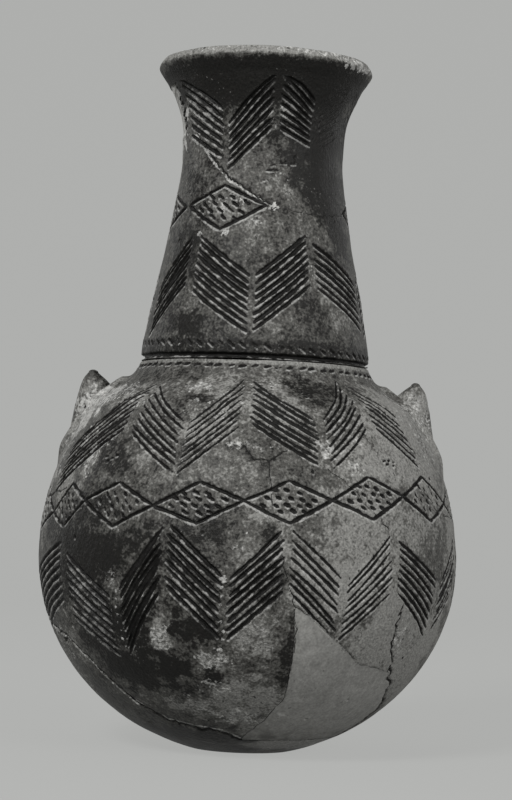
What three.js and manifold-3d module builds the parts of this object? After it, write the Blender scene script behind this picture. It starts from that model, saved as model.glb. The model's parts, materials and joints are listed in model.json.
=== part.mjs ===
// A hand-built pottery flask with a round body, a tall flaring neck and two ear lugs, broken and mended.
// Millimetres, +Z up, origin at the centre of the flat worn spot that it rests on.
// The front of the flask faces -Y. Angles on the wall are degrees from the front, towards +X.
import * as THREE from "three";
import { mergeVertices } from "three/addons/utils/BufferGeometryUtils.js";
import Module from "manifold-3d";

// Body: two half ellipsoids that meet at the belly line, the lower one cut flat where it is worn.
const BELLY_RADIUS = 104;
const BELLY_HEIGHT = 94;
const LOWER_DEPTH = 97;
const UPPER_DEPTH = 114;
const BODY_WALL = 7.5;
const BASE_WALL = 7;
const BODY_CENTRE = new THREE.Vector3(0, 0, BELLY_HEIGHT);

// Mouth of the body, where the neck was set in.
const SHOULDER_TOP = 190;
const MOUTH_RADIUS = 50;

// The shoulder rises more steeply to the mouth than its ellipsoid, through these radii and heights.
const SHOULDER_SLOPE = [
  [77.9, 169.5],
  [69.9, 175.6],
  [62.4, 181.5],
  [58.9, 186.6],
  [57.2, SHOULDER_TOP],
];

// Neck: outline through these radii and heights, from the groove at its foot to the rim.
const NECK_FOOT = [56.2, SHOULDER_TOP + 2.6];
const NECK_OUTLINE = [
  [57, 197],
  [53.6, 216],
  [47.5, 246],
  [42, 277],
  [40.4, 294],
  [42, 313],
  [48.2, 328],
];
const NECK_WALL = 6.5;
const NECK_WALL_RISE = 0.4;
const TONGUE_WALL = 5.2;
const TONGUE_DEPTH = 9;
const TONGUE_CHAMFER = 2;
const TONGUE_TOP = 228;

// Rim: the last coil, from its bevelled joint out to the lip, over the top and back inside.
const RIM_JOINT_RISE = 2.5;
const RIM_SETBACK = 0.2;
const RIM_OUTLINE = [
  [51.6, 333.4],
  [53.8, 337.5],
  [52, 341.2],
  [50.4, 342],
  [47, 340.4],
];

// Lugs: pointed ears that stand on the shoulder left and right, each held by a peg through the wall.
const LUG_TOP_LEFT = 185.2;
const LUG_TOP_RIGHT = 184.5;
const LUG_FOOT = 126;
const LUG_THICKNESS = 16;
const LUG_TAPER = 0.55;
const PEG_RADIUS = 6.5;
const PEG_HEIGHT = 162;
const PEG_TILT = 34;
const PEG_IN_LUG = 2;
const PEG_HOLE = [-20, 8];
const WAD_RADIUS = 13;
const WAD_THICKNESS = 5.5;

// Outline of a lug seen from the front, as the radii and heights of its outer and inner edge.
const LUG_OUTER_EDGE = [
  [99, LUG_FOOT],
  [94.8, 140],
  [91.5, 155],
  [89.4, 167],
  [87.8, 174.5],
  [86, 179.8],
  [83.4, 183.2],
];
const LUG_INNER_EDGE = [
  [70, LUG_FOOT],
  [67, 150],
  [66, 166],
  [68, 173.5],
  [72.6, 178.6],
  [77.8, 182.9],
];
const LUG_POINT_RADIUS = 80.6;

// Mends: every break and joint is a gap of this width, cut by a slice that reaches through the wall.
const GAP = 0.3;
const SLICE_INWARD = 18;
const SLICE_OUTWARD = 5;

// Fineness of the round surfaces.
const SEGMENTS = 48;
const STEP_DEGREES = 7.5;
const OUTSIDE_STEPS = 8;
const UPPER_STEPS = 6;
const INSIDE_STEPS = 5;
const NECK_STEPS = 9;
const NECK_CURVE_STEPS = 60;
const LUG_LEVELS = 10;
const LUG_SIDES = 16;
const PEG_SIDES = 20;
const WAD_RINGS = 12;
const PROBE_RADIUS = 1;

// Break lines of the body, as [angle, height] from sherd to sherd.
const BASE_RING = 8.5;
const BASE_BREAK = [
  [-180, BASE_RING],
  [-60, BASE_RING],
  [60, BASE_RING],
];
const SHOULDER_BREAK = [
  [-180, 138],
  [-150, 130],
  [-120, 120],
  [-90, 117],
  [-62, 126],
  [-35, 141],
  [-15, 150],
  [-3, 149],
  [1.3, 142.2],
  [5, 142],
  [13, 149],
  [22, 139],
  [45, 127],
  [68, 119],
  [90, 117],
  [120, 124],
  [150, 132],
];
const FRONT_BREAK = [
  [5, 142],
  [5.3, 131],
  [6.2, 119.7],
  [8.6, 99],
  [10.4, 87],
  [12.7, 75.2],
  [13.8, 60],
  [14.2, 39.8],
  [14, 31.5],
  [9.7, 20.2],
  [0, BASE_RING],
];
const RIGHT_BREAK = [
  [22, 139],
  [25.2, 135.9],
  [36.9, 116.8],
  [43, 98],
  [46.5, 76.5],
  [45, 67],
  [47, 57],
  [51.5, 43.4],
  [56.3, 36.5],
  [62, 29.6],
  [67, 20],
  [69, BASE_RING],
];
const FILL_TOP = [
  [12.7, 75.2],
  [19, 68.9],
  [25, 60.8],
  [34.8, 49.1],
  [51.5, 43.4],
];
const LOWER_LEFT_BREAK = [
  [-105, 66],
  [-84, 62],
  [-63.9, 54.3],
  [-54.6, 43.6],
  [-43.5, 25.1],
  [-32.6, 16.7],
  [-8.3, 12.8],
  [0, BASE_RING],
];
const LOWER_BACK_BREAK = [
  [120, 60],
  [140, 66],
  [180, 62],
  [210, 57],
  [255, 66],
];
const BACK_LEFT_BREAK = [
  [-120, 120],
  [-112, 98],
  [-105, 66],
  [-112, 40],
  [-118, BASE_RING],
];
const BACK_RIGHT_BREAK = [
  [120, 124],
  [114, 100],
  [120, 60],
  [128, 34],
  [122, BASE_RING],
];
const BACK_BREAK = [
  [-180, 138],
  [-174, 110],
  [-180, 62],
];
const SHOULDER_LEFT_BREAK = [
  [-15, 150],
  [-23, 166],
  [-19, SHOULDER_TOP + 4],
];
const SHOULDER_RIGHT_BREAK = [
  [22, 139],
  [31, 160],
  [27, SHOULDER_TOP + 4],
];
const SHOULDER_BACK_BREAK = [
  [-180, 138],
  [-188, 164],
  [-182, SHOULDER_TOP + 4],
];

// Break lines of the neck, and the plaster that fills the gap under its rim on the left.
const NECK_BREAK = [
  [-180, 292],
  [-130, 299],
  [-84, 304],
  [-55.3, 301.5],
  [-39.7, 289.3],
  [-23.1, 278.3],
  [-7.2, 270.8],
  [7.2, 264.8],
  [40, 262],
  [90, 268],
  [140, 281],
];
const NECK_FILL_SIDES = [
  [
    [-108, 301.3],
    [-104, 316],
    [-110, 336],
  ],
  [
    [-72, 302.9],
    [-77, 315],
    [-70, 336],
  ],
];

// Main strokes of the incised bands on the lower neck, on the shoulder and on the left of the belly:
// every second one of each bundle in front and fewer at the back. A bundle is its first stroke from
// [angle, height] to [angle, height], how far each next one starts and ends below the last, and
// their count. A lozenge is its left, top, right and bottom corner.
const STROKE_WIDTH = 2.1;
const STROKE_DEPTH = 1.15;
const STROKE_CLEARANCE = 0.9;
const STROKE_STEP_DEGREES = 15;
const STROKE_STEP_HEIGHT = 17;
const NECK_BUNDLES = [
  { from: [-44.5, 249.5], to: [-70, 227], fromPitch: 6.6, toPitch: 7, count: 4 },
  { from: [-37, 250], to: [-5.3, 231], fromPitch: 6.6, toPitch: 6.8, count: 5 },
  { from: [-0.8, 231], to: [29, 252], fromPitch: 7.6, toPitch: 7, count: 4 },
  { from: [34.5, 248], to: [70, 231], fromPitch: 7.2, toPitch: 7.4, count: 4 },
  { from: [75, 231], to: [101, 250], fromPitch: 7.2, toPitch: 7.2, count: 4 },
  { from: [108, 250], to: [137, 231], fromPitch: 14.4, toPitch: 14.4, count: 2 },
  { from: [143.5, 231], to: [173, 250], fromPitch: 14.4, toPitch: 14.4, count: 2 },
  { from: [179, 250], to: [208.5, 231], fromPitch: 14.4, toPitch: 14.4, count: 2 },
  { from: [214.5, 231], to: [244, 250], fromPitch: 14.4, toPitch: 14.4, count: 2 },
  { from: [250, 250], to: [279.5, 231], fromPitch: 14.4, toPitch: 14.4, count: 2 },
];
const NECK_LOZENGES = [
  [
    [-53.5, 266.2],
    [-25, 275.3],
    [3.5, 265.8],
    [-25, 253.4],
  ],
];
const SHOULDER_BUNDLES = [
  { from: [-44, 177], to: [-70, 146], fromPitch: 6.4, toPitch: 6.2, count: 4 },
  { from: [-40, 176], to: [-22, 159], fromPitch: 6.4, toPitch: 6.8, count: 4 },
  { from: [-20, 158], to: [-4.5, 179.6], fromPitch: 6.6, toPitch: 6.4, count: 4 },
  { from: [0, 179.6], to: [19.5, 162.5], fromPitch: 6, toPitch: 6.2, count: 4 },
  { from: [23.5, 162.7], to: [39, 182], fromPitch: 6.6, toPitch: 6.6, count: 4 },
  { from: [43.5, 180], to: [58, 166], fromPitch: 7, toPitch: 7.8, count: 4 },
  { from: [119, 160], to: [100, 180], fromPitch: 9.6, toPitch: 9.6, count: 3 },
  { from: [119, 160], to: [136, 180], fromPitch: 9.6, toPitch: 9.6, count: 3 },
  { from: [140, 180], to: [157, 160], fromPitch: 9.6, toPitch: 9.6, count: 3 },
  { from: [161, 160], to: [178, 180], fromPitch: 9.6, toPitch: 9.6, count: 3 },
  { from: [182, 180], to: [199, 160], fromPitch: 9.6, toPitch: 9.6, count: 3 },
  { from: [203, 160], to: [220, 180], fromPitch: 9.6, toPitch: 9.6, count: 3 },
  { from: [224, 180], to: [241, 160], fromPitch: 9.6, toPitch: 9.6, count: 3 },
  { from: [243, 160], to: [260, 180], fromPitch: 9.6, toPitch: 9.6, count: 3 },
];
const BELLY_BUNDLES = [
  { from: [-87, 80], to: [-59, 100], fromPitch: 7.8, toPitch: 7.8, count: 4 },
  { from: [-55, 95], to: [-39, 76], fromPitch: 8.4, toPitch: 7.8, count: 4 },
  { from: [-34.8, 80], to: [-23, 109], fromPitch: 7.5, toPitch: 7.4, count: 4 },
  { from: [-20.5, 110], to: [-6.8, 88.6], fromPitch: 7.8, toPitch: 8, count: 4 },
  { from: [-4.4, 87.6], to: [8.7, 109.5], fromPitch: 8, toPitch: 7.8, count: 4 },
];
const BELLY_LOZENGES = [
  [
    [-67, 114],
    [-58.5, 128],
    [-50, 120.3],
    [-58.5, 107.5],
  ],
  [
    [-50, 120.3],
    [-38, 129.5],
    [-26.2, 119.2],
    [-38, 108.8],
  ],
  [
    [-26.2, 119.2],
    [-13.5, 131],
    [-1.5, 123],
    [-13.5, 111.8],
  ],
];

// Each piece of the body and neck, found by a point of its wall.
const BODY_SHERDS = {
  base_pad: [0, 4],
  lower_left_sherd: [-70, 30],
  lower_back_sherd: [-170, 35],
  plaster_fill: [32, 35],
  belly_left_sherd: [-40, 95],
  belly_front_sherd: [25, 95],
  belly_right_sherd: [80, 80],
  belly_back_left_sherd: [-145, 95],
  belly_back_right_sherd: [150, 95],
  shoulder_left_sherd: [-100, 172],
  shoulder_front_sherd: [4, 170],
  shoulder_right_sherd: [100, 172],
};
const NECK_SHERDS = {
  neck_lower_sherd: [0, 230],
  neck_upper_sherd: [30, 300],
  neck_fill: [-90, 318],
};

const FIRED_CLAY = { color: 0x4a4843, roughness: 0.82, metalness: 0 };
const LIGHT_CLAY = { color: 0x67645d, roughness: 0.86, metalness: 0 };
const PLASTER = { color: 0x7b7a74, roughness: 0.92, metalness: 0 };
const MATERIALS = {
  plaster_fill: PLASTER,
  neck_fill: PLASTER,
  belly_right_sherd: LIGHT_CLAY,
  shoulder_right_sherd: LIGHT_CLAY,
};

const manifold = await Module();
manifold.setup();

// A closed three.js geometry as a solid that can be joined and cut.
function solidOf(geometry) {
  const bare = geometry.clone();
  bare.deleteAttribute("normal");
  bare.deleteAttribute("uv");
  const merged = mergeVertices(bare, 1e-4);
  return new manifold.Manifold(
    new manifold.Mesh({
      numProp: 3,
      vertProperties: merged.attributes.position.array,
      triVerts: new Uint32Array(merged.index.array),
    }),
  );
}

// A solid turned back into a three.js geometry.
function geometryOf(solid) {
  const mesh = solid.getMesh();
  const geometry = new THREE.BufferGeometry();
  geometry.setAttribute("position", new THREE.BufferAttribute(mesh.vertProperties, 3));
  geometry.setIndex(new THREE.BufferAttribute(mesh.triVerts, 1));
  geometry.computeVertexNormals();
  return geometry;
}

// A ring or bowl turned about Z from [radius, height] points.
function turned(points) {
  const outline = points.map(([r, z]) => new THREE.Vector2(r, z));
  return solidOf(new THREE.LatheGeometry(outline, SEGMENTS).rotateX(Math.PI / 2));
}

function quarterEllipse(radius, depth, centre, fromRadius, toRadius, steps) {
  const from = Math.acos(fromRadius / radius);
  const to = Math.acos(toRadius / radius);
  return Array.from({ length: steps + 1 }, (_, i) => {
    const angle = from + ((to - from) * i) / steps;
    return [radius * Math.cos(angle), centre + depth * Math.sin(angle)];
  });
}

function ellipseRadius(radius, depth, centre, height) {
  return radius * Math.sqrt(Math.max(0, 1 - ((height - centre) / depth) ** 2));
}

// The slope of the shoulder, moved out square to itself by an allowance.
function shoulderSlope(allowance) {
  return SHOULDER_SLOPE.map(([r, z], i) => {
    const [fromR, fromZ] = SHOULDER_SLOPE[Math.max(i - 1, 0)];
    const [toR, toZ] = SHOULDER_SLOPE[Math.min(i + 1, SHOULDER_SLOPE.length - 1)];
    const share = allowance / Math.hypot(toR - fromR, toZ - fromZ);
    return [r + share * (toZ - fromZ), z + share * (fromR - toR)];
  });
}

// Outside of the body, with an allowance all round, from the rest to the mouth.
function bodyOutside(allowance) {
  const radius = BELLY_RADIUS + allowance;
  const lower = LOWER_DEPTH + allowance;
  const upper = UPPER_DEPTH + allowance;
  const rest = ellipseRadius(radius, lower, BELLY_HEIGHT, 0);
  const slope = shoulderSlope(allowance);
  const spring = ellipseRadius(radius, upper, BELLY_HEIGHT, slope[0][1]);
  return [
    ...quarterEllipse(radius, -lower, BELLY_HEIGHT, rest, radius, OUTSIDE_STEPS),
    ...quarterEllipse(radius, upper, BELLY_HEIGHT, radius, spring, UPPER_STEPS).slice(1),
    ...slope.slice(1),
  ];
}

// Hollow of the body, from the floor to the foot of the mouth.
function bodyInside(allowance, steps) {
  const radius = BELLY_RADIUS - BODY_WALL - allowance;
  const floor = BELLY_HEIGHT - BASE_WALL - allowance;
  const roof = UPPER_DEPTH - BODY_WALL - allowance;
  return [
    ...quarterEllipse(radius, -floor, BELLY_HEIGHT, 0, radius, steps),
    ...quarterEllipse(radius, roof, BELLY_HEIGHT, radius, MOUTH_RADIUS, steps).slice(1),
  ];
}

function bodyRadius(height) {
  const above = SHOULDER_SLOPE.findIndex(([, z]) => z >= height);
  if (above > 0) {
    const [[r, z], [topR, topZ]] = SHOULDER_SLOPE.slice(above - 1, above + 1);
    return r + ((topR - r) * (height - z)) / (topZ - z);
  }
  const depth = height < BELLY_HEIGHT ? LOWER_DEPTH : UPPER_DEPTH;
  return ellipseRadius(BELLY_RADIUS, depth, BELLY_HEIGHT, height);
}

const neckCurve = new THREE.SplineCurve(NECK_OUTLINE.map(([r, z]) => new THREE.Vector2(r, z)));

function neckRadius(height) {
  const points = neckCurve.getPoints(NECK_CURVE_STEPS);
  const above = points.findIndex((p) => p.y >= height);
  const i = above < 0 ? points.length - 1 : Math.max(1, above);
  const [a, b] = [points[i - 1], points[i]];
  return a.x + ((b.x - a.x) * (height - a.y)) / (b.y - a.y);
}

function pointOnWall(radiusAt, angle, height) {
  const turn = THREE.MathUtils.degToRad(angle);
  const radius = radiusAt(height);
  return new THREE.Vector3(radius * Math.sin(turn), -radius * Math.cos(turn), height);
}

// A break line with points added every few degrees, so that it follows the round wall.
function followed(line) {
  const out = [line[0]];
  line.slice(1).forEach(([angle, height], i) => {
    const [fromAngle, fromHeight] = line[i];
    const along = Math.hypot(angle - fromAngle, (height - fromHeight) / 2);
    const steps = Math.ceil(along / STEP_DEGREES);
    for (let k = 1; k <= steps; k += 1) {
      const t = k / steps;
      out.push([fromAngle + (angle - fromAngle) * t, fromHeight + (height - fromHeight) * t]);
    }
  });
  return out;
}

// A thin upright slice along a break line, as wide as the gap, that goes right through the wall.
function slice(line, radiusAt, outwardAt, closed) {
  const knots = followed(closed ? [...line, [line[0][0] + 360, line[0][1]]] : line);
  if (closed) knots.pop();
  const places = knots.map(([angle, height]) => pointOnWall(radiusAt, angle, height));
  const count = places.length;
  const positions = [];
  places.forEach((place, i) => {
    const before = places[closed ? (i + count - 1) % count : Math.max(i - 1, 0)];
    const after = places[closed ? (i + 1) % count : Math.min(i + 1, count - 1)];
    const outward = outwardAt(place);
    const side = after.clone().sub(before).cross(outward).normalize().multiplyScalar(GAP / 2);
    const inner = place.clone().addScaledVector(outward, -SLICE_INWARD);
    const outer = place.clone().addScaledVector(outward, SLICE_OUTWARD);
    for (const [corner, sign] of [[inner, -1], [inner, 1], [outer, 1], [outer, -1]])
      positions.push(...corner.clone().addScaledVector(side, sign).toArray());
  });
  const index = [];
  const quad = (a, b, c, d) => index.push(a, c, b, a, d, c);
  const spans = closed ? count : count - 1;
  for (let i = 0; i < spans; i += 1) {
    const a = 4 * i;
    const b = 4 * ((i + 1) % count);
    quad(a, a + 1, b + 1, b);
    quad(a + 1, a + 2, b + 2, b + 1);
    quad(a + 2, a + 3, b + 3, b + 2);
    quad(a, b, b + 3, a + 3);
  }
  if (!closed) {
    const end = 4 * (count - 1);
    quad(3, 2, 1, 0);
    quad(end, end + 1, end + 2, end + 3);
  }
  const geometry = new THREE.BufferGeometry();
  geometry.setAttribute("position", new THREE.BufferAttribute(new Float32Array(positions), 3));
  geometry.setIndex(index);
  return solidOf(geometry);
}

const awayFromCentre = (place) => place.clone().sub(BODY_CENTRE).normalize();
const awayFromAxis = (place) => new THREE.Vector3(place.x, place.y, 0).normalize();
const bodySlice = (line, closed) => slice(line, bodyRadius, awayFromCentre, closed);
const neckSlice = (line, closed) => slice(line, neckRadius, awayFromAxis, closed);

// A stroke pressed into the wall: a V-shaped trough that bends with the wall between two places.
function stroke([fromAngle, fromHeight], [toAngle, toHeight], radiusAt, outwardAt) {
  const across = Math.abs(toAngle - fromAngle) / STROKE_STEP_DEGREES;
  const upward = Math.abs(toHeight - fromHeight) / STROKE_STEP_HEIGHT;
  const spans = Math.ceil(Math.max(across, upward));
  const places = Array.from({ length: spans + 1 }, (_, k) => {
    const t = k / spans;
    return pointOnWall(
      radiusAt,
      fromAngle + (toAngle - fromAngle) * t,
      fromHeight + (toHeight - fromHeight) * t,
    );
  });
  const half = (STROKE_WIDTH / 2) * (1 + STROKE_CLEARANCE / STROKE_DEPTH);
  const positions = [];
  places.forEach((place, i) => {
    const before = places[Math.max(i - 1, 0)];
    const after = places[Math.min(i + 1, spans)];
    const outward = outwardAt(place);
    const side = after.clone().sub(before).cross(outward).normalize().multiplyScalar(half);
    const bottom = place.clone().addScaledVector(outward, -STROKE_DEPTH);
    const top = place.clone().addScaledVector(outward, STROKE_CLEARANCE);
    for (const corner of [bottom, top.clone().add(side), top.clone().sub(side)])
      positions.push(...corner.toArray());
  });
  const index = [0, 1, 2];
  for (let i = 0; i < spans; i += 1)
    for (let k = 0; k < 3; k += 1) {
      const a = 3 * i + k;
      const b = 3 * i + ((k + 1) % 3);
      index.push(a, b + 3, b, a, a + 3, b + 3);
    }
  index.push(3 * spans, 3 * spans + 2, 3 * spans + 1);
  const geometry = new THREE.BufferGeometry();
  geometry.setAttribute("position", new THREE.BufferAttribute(new Float32Array(positions), 3));
  geometry.setIndex(index);
  return solidOf(geometry);
}

// The first and last place of every stroke of some bundles and lozenges.
function strokesOf(bundles, lozenges) {
  const strokes = [];
  for (const { from, to, fromPitch, toPitch, count } of bundles)
    for (let k = 0; k < count; k += 1)
      strokes.push([
        [from[0], from[1] - fromPitch * k],
        [to[0], to[1] - toPitch * k],
      ]);
  for (const corners of lozenges)
    corners.forEach((corner, k) => strokes.push([corner, corners[(k + 1) % corners.length]]));
  return strokes;
}

function incised(shell, strokes, radiusAt, outwardAt) {
  const troughs = strokes.map(([from, to]) => stroke(from, to, radiusAt, outwardAt));
  return shell.subtract(manifold.Manifold.union(troughs));
}

// The solids left when a shell is cut, each under its own name.
function namedPieces(shell, slices, names, radiusAt, inward) {
  const parts = shell.subtract(manifold.Manifold.union(slices)).decompose();
  const probe = solidOf(new THREE.SphereGeometry(PROBE_RADIUS, 8, 6));
  return Object.entries(names).map(([name, [angle, height]]) => {
    const place = pointOnWall(radiusAt, angle, height);
    place.addScaledVector(awayFromCentre(place), -inward);
    const at = probe.translate(place.toArray());
    const found = parts.find((part) => !part.intersect(at).isEmpty());
    if (!found) throw new Error(`no piece of the wall is at the point of ${name}`);
    return [name, found];
  });
}

// Body shell: pad, belly and shoulder, with a flat-topped mouth.
function bodyShell() {
  const outside = bodyOutside(0);
  const inside = bodyInside(0, INSIDE_STEPS).reverse();
  return turned([[0, 0], ...outside, [MOUTH_RADIUS, SHOULDER_TOP], ...inside]);
}

// Neck: stands on the shoulder, with a tongue that reaches down inside the mouth.
function neckShell() {
  const foot = SHOULDER_TOP + GAP;
  const tongueOuter = MOUTH_RADIUS - GAP;
  const tongueInner = tongueOuter - TONGUE_WALL;
  const tongueFoot = SHOULDER_TOP - TONGUE_DEPTH;
  const outside = neckCurve.getPoints(NECK_STEPS).map((p) => [p.x, p.y]);
  const [topRadius, topHeight] = outside[outside.length - 1];
  const inside = outside
    .filter(([r, z]) => r - NECK_WALL < tongueInner && z < topHeight)
    .map(([r, z]) => [r - NECK_WALL, z + NECK_WALL_RISE])
    .reverse();
  const start = [NECK_FOOT[0], foot];
  return turned([
    start,
    NECK_FOOT,
    ...outside,
    [topRadius - NECK_WALL, topHeight + RIM_JOINT_RISE],
    ...inside,
    [tongueInner, TONGUE_TOP],
    [tongueInner, tongueFoot + TONGUE_CHAMFER],
    [tongueInner + TONGUE_CHAMFER, tongueFoot],
    [tongueOuter, tongueFoot],
    [tongueOuter, foot],
    start,
  ]);
}

// Rim: one coil on a bevelled joint, turned out and rounded at the lip.
function rimCoil() {
  const [topRadius, topHeight] = NECK_OUTLINE[NECK_OUTLINE.length - 1];
  const outer = [topRadius + RIM_SETBACK, topHeight + GAP];
  const inner = [outer[0] - NECK_WALL, outer[1] + RIM_JOINT_RISE];
  const knots = [outer, ...RIM_OUTLINE, inner].map(([r, z]) => new THREE.Vector2(r, z));
  const lip = new THREE.SplineCurve(knots);
  return turned([...lip.getPoints(NECK_STEPS).map((p) => [p.x, p.y]), outer]);
}

// A lug before it is fitted to the wall: level ovals stacked from its foot to its rounded point.
function lugBlank(top) {
  const stretch = (top - LUG_FOOT) / (LUG_TOP_RIGHT - LUG_FOOT);
  const stretched = ([r, z]) => new THREE.Vector2(r, LUG_FOOT + (z - LUG_FOOT) * stretch);
  const outer = new THREE.SplineCurve(LUG_OUTER_EDGE.map(stretched)).getPoints(LUG_LEVELS);
  const inner = new THREE.SplineCurve(LUG_INNER_EDGE.map(stretched)).getPoints(LUG_LEVELS);
  const positions = [];
  outer.forEach((out, i) => {
    const up = i / LUG_LEVELS;
    const half = (LUG_THICKNESS / 2) * (1 - LUG_TAPER * up ** 4);
    const middle = out.clone().add(inner[i]).multiplyScalar(0.5);
    const reach = out.clone().sub(middle);
    for (let k = 0; k < LUG_SIDES; k += 1) {
      const turn = (2 * Math.PI * k) / LUG_SIDES;
      const across = Math.cos(turn);
      positions.push(middle.x + reach.x * across, half * Math.sin(turn), middle.y + reach.y * across);
    }
  });
  const foot = positions.length / 3;
  positions.push((LUG_OUTER_EDGE[0][0] + LUG_INNER_EDGE[0][0]) / 2, 0, LUG_FOOT);
  positions.push(LUG_POINT_RADIUS, 0, top);
  const index = [];
  for (let i = 0; i < LUG_LEVELS; i += 1)
    for (let k = 0; k < LUG_SIDES; k += 1) {
      const a = i * LUG_SIDES + k;
      const b = i * LUG_SIDES + ((k + 1) % LUG_SIDES);
      index.push(a, b, b + LUG_SIDES, a, b + LUG_SIDES, a + LUG_SIDES);
    }
  const last = LUG_LEVELS * LUG_SIDES;
  for (let k = 0; k < LUG_SIDES; k += 1) {
    const next = (k + 1) % LUG_SIDES;
    index.push(foot, next, k);
    index.push(foot + 1, last + k, last + next);
  }
  const geometry = new THREE.BufferGeometry();
  geometry.setAttribute("position", new THREE.BufferAttribute(new Float32Array(positions), 3));
  geometry.setIndex(index);
  return solidOf(geometry);
}

// Places along the peg of a lug: its axis runs square through the wall, from inside to outside.
const pegDirection = new THREE.Vector3(1, 0, 0).applyAxisAngle(
  new THREE.Vector3(0, 1, 0),
  -THREE.MathUtils.degToRad(PEG_TILT),
);
const pegAtWall = new THREE.Vector3(bodyRadius(PEG_HEIGHT), 0, PEG_HEIGHT);

function alongPeg(solid, distance) {
  const place = pegAtWall.clone().addScaledVector(pegDirection, distance);
  return solid.rotate([0, 90 - PEG_TILT, 0]).translate(place.toArray());
}

function peg(radius, from, to) {
  const length = to - from;
  const cylinder = new THREE.CylinderGeometry(radius, radius, length, PEG_SIDES);
  return alongPeg(solidOf(cylinder.rotateX(Math.PI / 2)), (from + to) / 2);
}

function lug(top, bodyWithGap) {
  return lugBlank(top).subtract(bodyWithGap).add(peg(PEG_RADIUS, -BODY_WALL, PEG_IN_LUG));
}

// The pad of clay pressed over the end of a peg, inside the wall.
function lugWad(hollow) {
  const ball = solidOf(new THREE.SphereGeometry(1, PEG_SIDES, WAD_RINGS));
  const flat = ball.scale([WAD_RADIUS, WAD_RADIUS, WAD_THICKNESS]);
  const pegEnd = peg(PEG_RADIUS + GAP, -BODY_WALL - GAP, 0);
  return alongPeg(flat, -BODY_WALL - GAP).intersect(hollow).subtract(pegEnd);
}

const BODY_BREAKS = [
  FRONT_BREAK,
  RIGHT_BREAK,
  FILL_TOP,
  LOWER_LEFT_BREAK,
  LOWER_BACK_BREAK,
  BACK_LEFT_BREAK,
  BACK_RIGHT_BREAK,
  BACK_BREAK,
  SHOULDER_LEFT_BREAK,
  SHOULDER_RIGHT_BREAK,
  SHOULDER_BACK_BREAK,
];

const HALF_TURN = 180;
const pegHole = peg(PEG_RADIUS + GAP, ...PEG_HOLE);
const bodySlices = [
  bodySlice(BASE_BREAK, true),
  bodySlice(SHOULDER_BREAK, true),
  ...BODY_BREAKS.map((line) => bodySlice(line, false)),
  pegHole,
  pegHole.rotate([0, 0, HALF_TURN]),
];
const neckSlices = [
  neckSlice(NECK_BREAK, true),
  ...NECK_FILL_SIDES.map((line) => neckSlice(line, false)),
];

function meshOf(name, solid) {
  const finish = new THREE.MeshStandardMaterial(MATERIALS[name] ?? FIRED_CLAY);
  const mesh = new THREE.Mesh(geometryOf(solid), finish);
  mesh.name = name;
  return mesh;
}

function groupOf(pieces) {
  const group = new THREE.Group();
  for (const [name, solid] of pieces) group.add(meshOf(name, solid));
  return group;
}

const bodyStrokes = strokesOf([...SHOULDER_BUNDLES, ...BELLY_BUNDLES], BELLY_LOZENGES);
const incisedBody = incised(bodyShell(), bodyStrokes, bodyRadius, awayFromCentre);
const neckStrokes = strokesOf(NECK_BUNDLES, NECK_LOZENGES);
const incisedNeck = incised(neckShell(), neckStrokes, neckRadius, awayFromAxis);

const body = groupOf(
  namedPieces(incisedBody, bodySlices, BODY_SHERDS, bodyRadius, BODY_WALL / 2),
);
const neck = groupOf([
  ...namedPieces(incisedNeck, neckSlices, NECK_SHERDS, neckRadius, NECK_WALL / 2),
  ["rim_coil", rimCoil()],
]);

// Both lugs are made on the +X side, and the left one is turned half round the axis.
const bodyWithGap = turned([[0, 0], ...bodyOutside(GAP), [0, SHOULDER_TOP]]);
const hollow = turned([...bodyInside(GAP, INSIDE_STEPS), [0, SHOULDER_TOP - BODY_WALL]]);
const rightLug = groupOf([
  ["right_lug", lug(LUG_TOP_RIGHT, bodyWithGap)],
  ["right_lug_wad", lugWad(hollow)],
]);
const leftLug = groupOf([
  ["left_lug", lug(LUG_TOP_LEFT, bodyWithGap)],
  ["left_lug_wad", lugWad(hollow)],
]);
leftLug.rotation.z = THREE.MathUtils.degToRad(HALF_TURN);

const flask = new THREE.Group();
flask.add(body, neck, rightLug, leftLug);
export default flask;
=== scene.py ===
"""A mended pottery flask with incised bands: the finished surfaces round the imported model."""
import functools
import json
import math

import bmesh
import bpy
import numpy as np
from mathutils import Matrix, Vector

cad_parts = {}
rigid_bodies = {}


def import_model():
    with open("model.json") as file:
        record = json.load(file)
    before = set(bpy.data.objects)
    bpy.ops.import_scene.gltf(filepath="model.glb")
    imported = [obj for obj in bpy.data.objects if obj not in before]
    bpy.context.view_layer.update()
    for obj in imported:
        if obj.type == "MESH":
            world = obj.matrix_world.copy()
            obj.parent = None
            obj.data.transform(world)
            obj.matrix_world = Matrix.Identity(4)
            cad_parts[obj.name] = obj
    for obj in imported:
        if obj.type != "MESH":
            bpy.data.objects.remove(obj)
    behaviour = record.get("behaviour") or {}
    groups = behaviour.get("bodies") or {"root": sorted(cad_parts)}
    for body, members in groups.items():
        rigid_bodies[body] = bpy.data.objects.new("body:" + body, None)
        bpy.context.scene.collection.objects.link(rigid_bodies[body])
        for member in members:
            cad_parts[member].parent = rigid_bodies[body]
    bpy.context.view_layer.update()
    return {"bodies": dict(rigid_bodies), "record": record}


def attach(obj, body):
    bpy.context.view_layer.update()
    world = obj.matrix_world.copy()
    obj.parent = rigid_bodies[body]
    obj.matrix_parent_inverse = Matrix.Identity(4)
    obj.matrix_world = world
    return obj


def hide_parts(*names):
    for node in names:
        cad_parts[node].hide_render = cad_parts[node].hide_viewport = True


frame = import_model()

bl_info = {
    "name": "Incised Pottery Flask",
    "version": (1, 0, 0),
    "blender": (4, 5, 0),
    "location": "View3D > Sidebar > Flask",
    "description": "Builds a mended, incised pottery flask and the plain stage it stands on",
    "category": "Add Mesh",
}

MM = 0.001
FULL = 360.0
ROOT = next(iter(frame["bodies"]))


# Sizes and colours that a user would change

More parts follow.
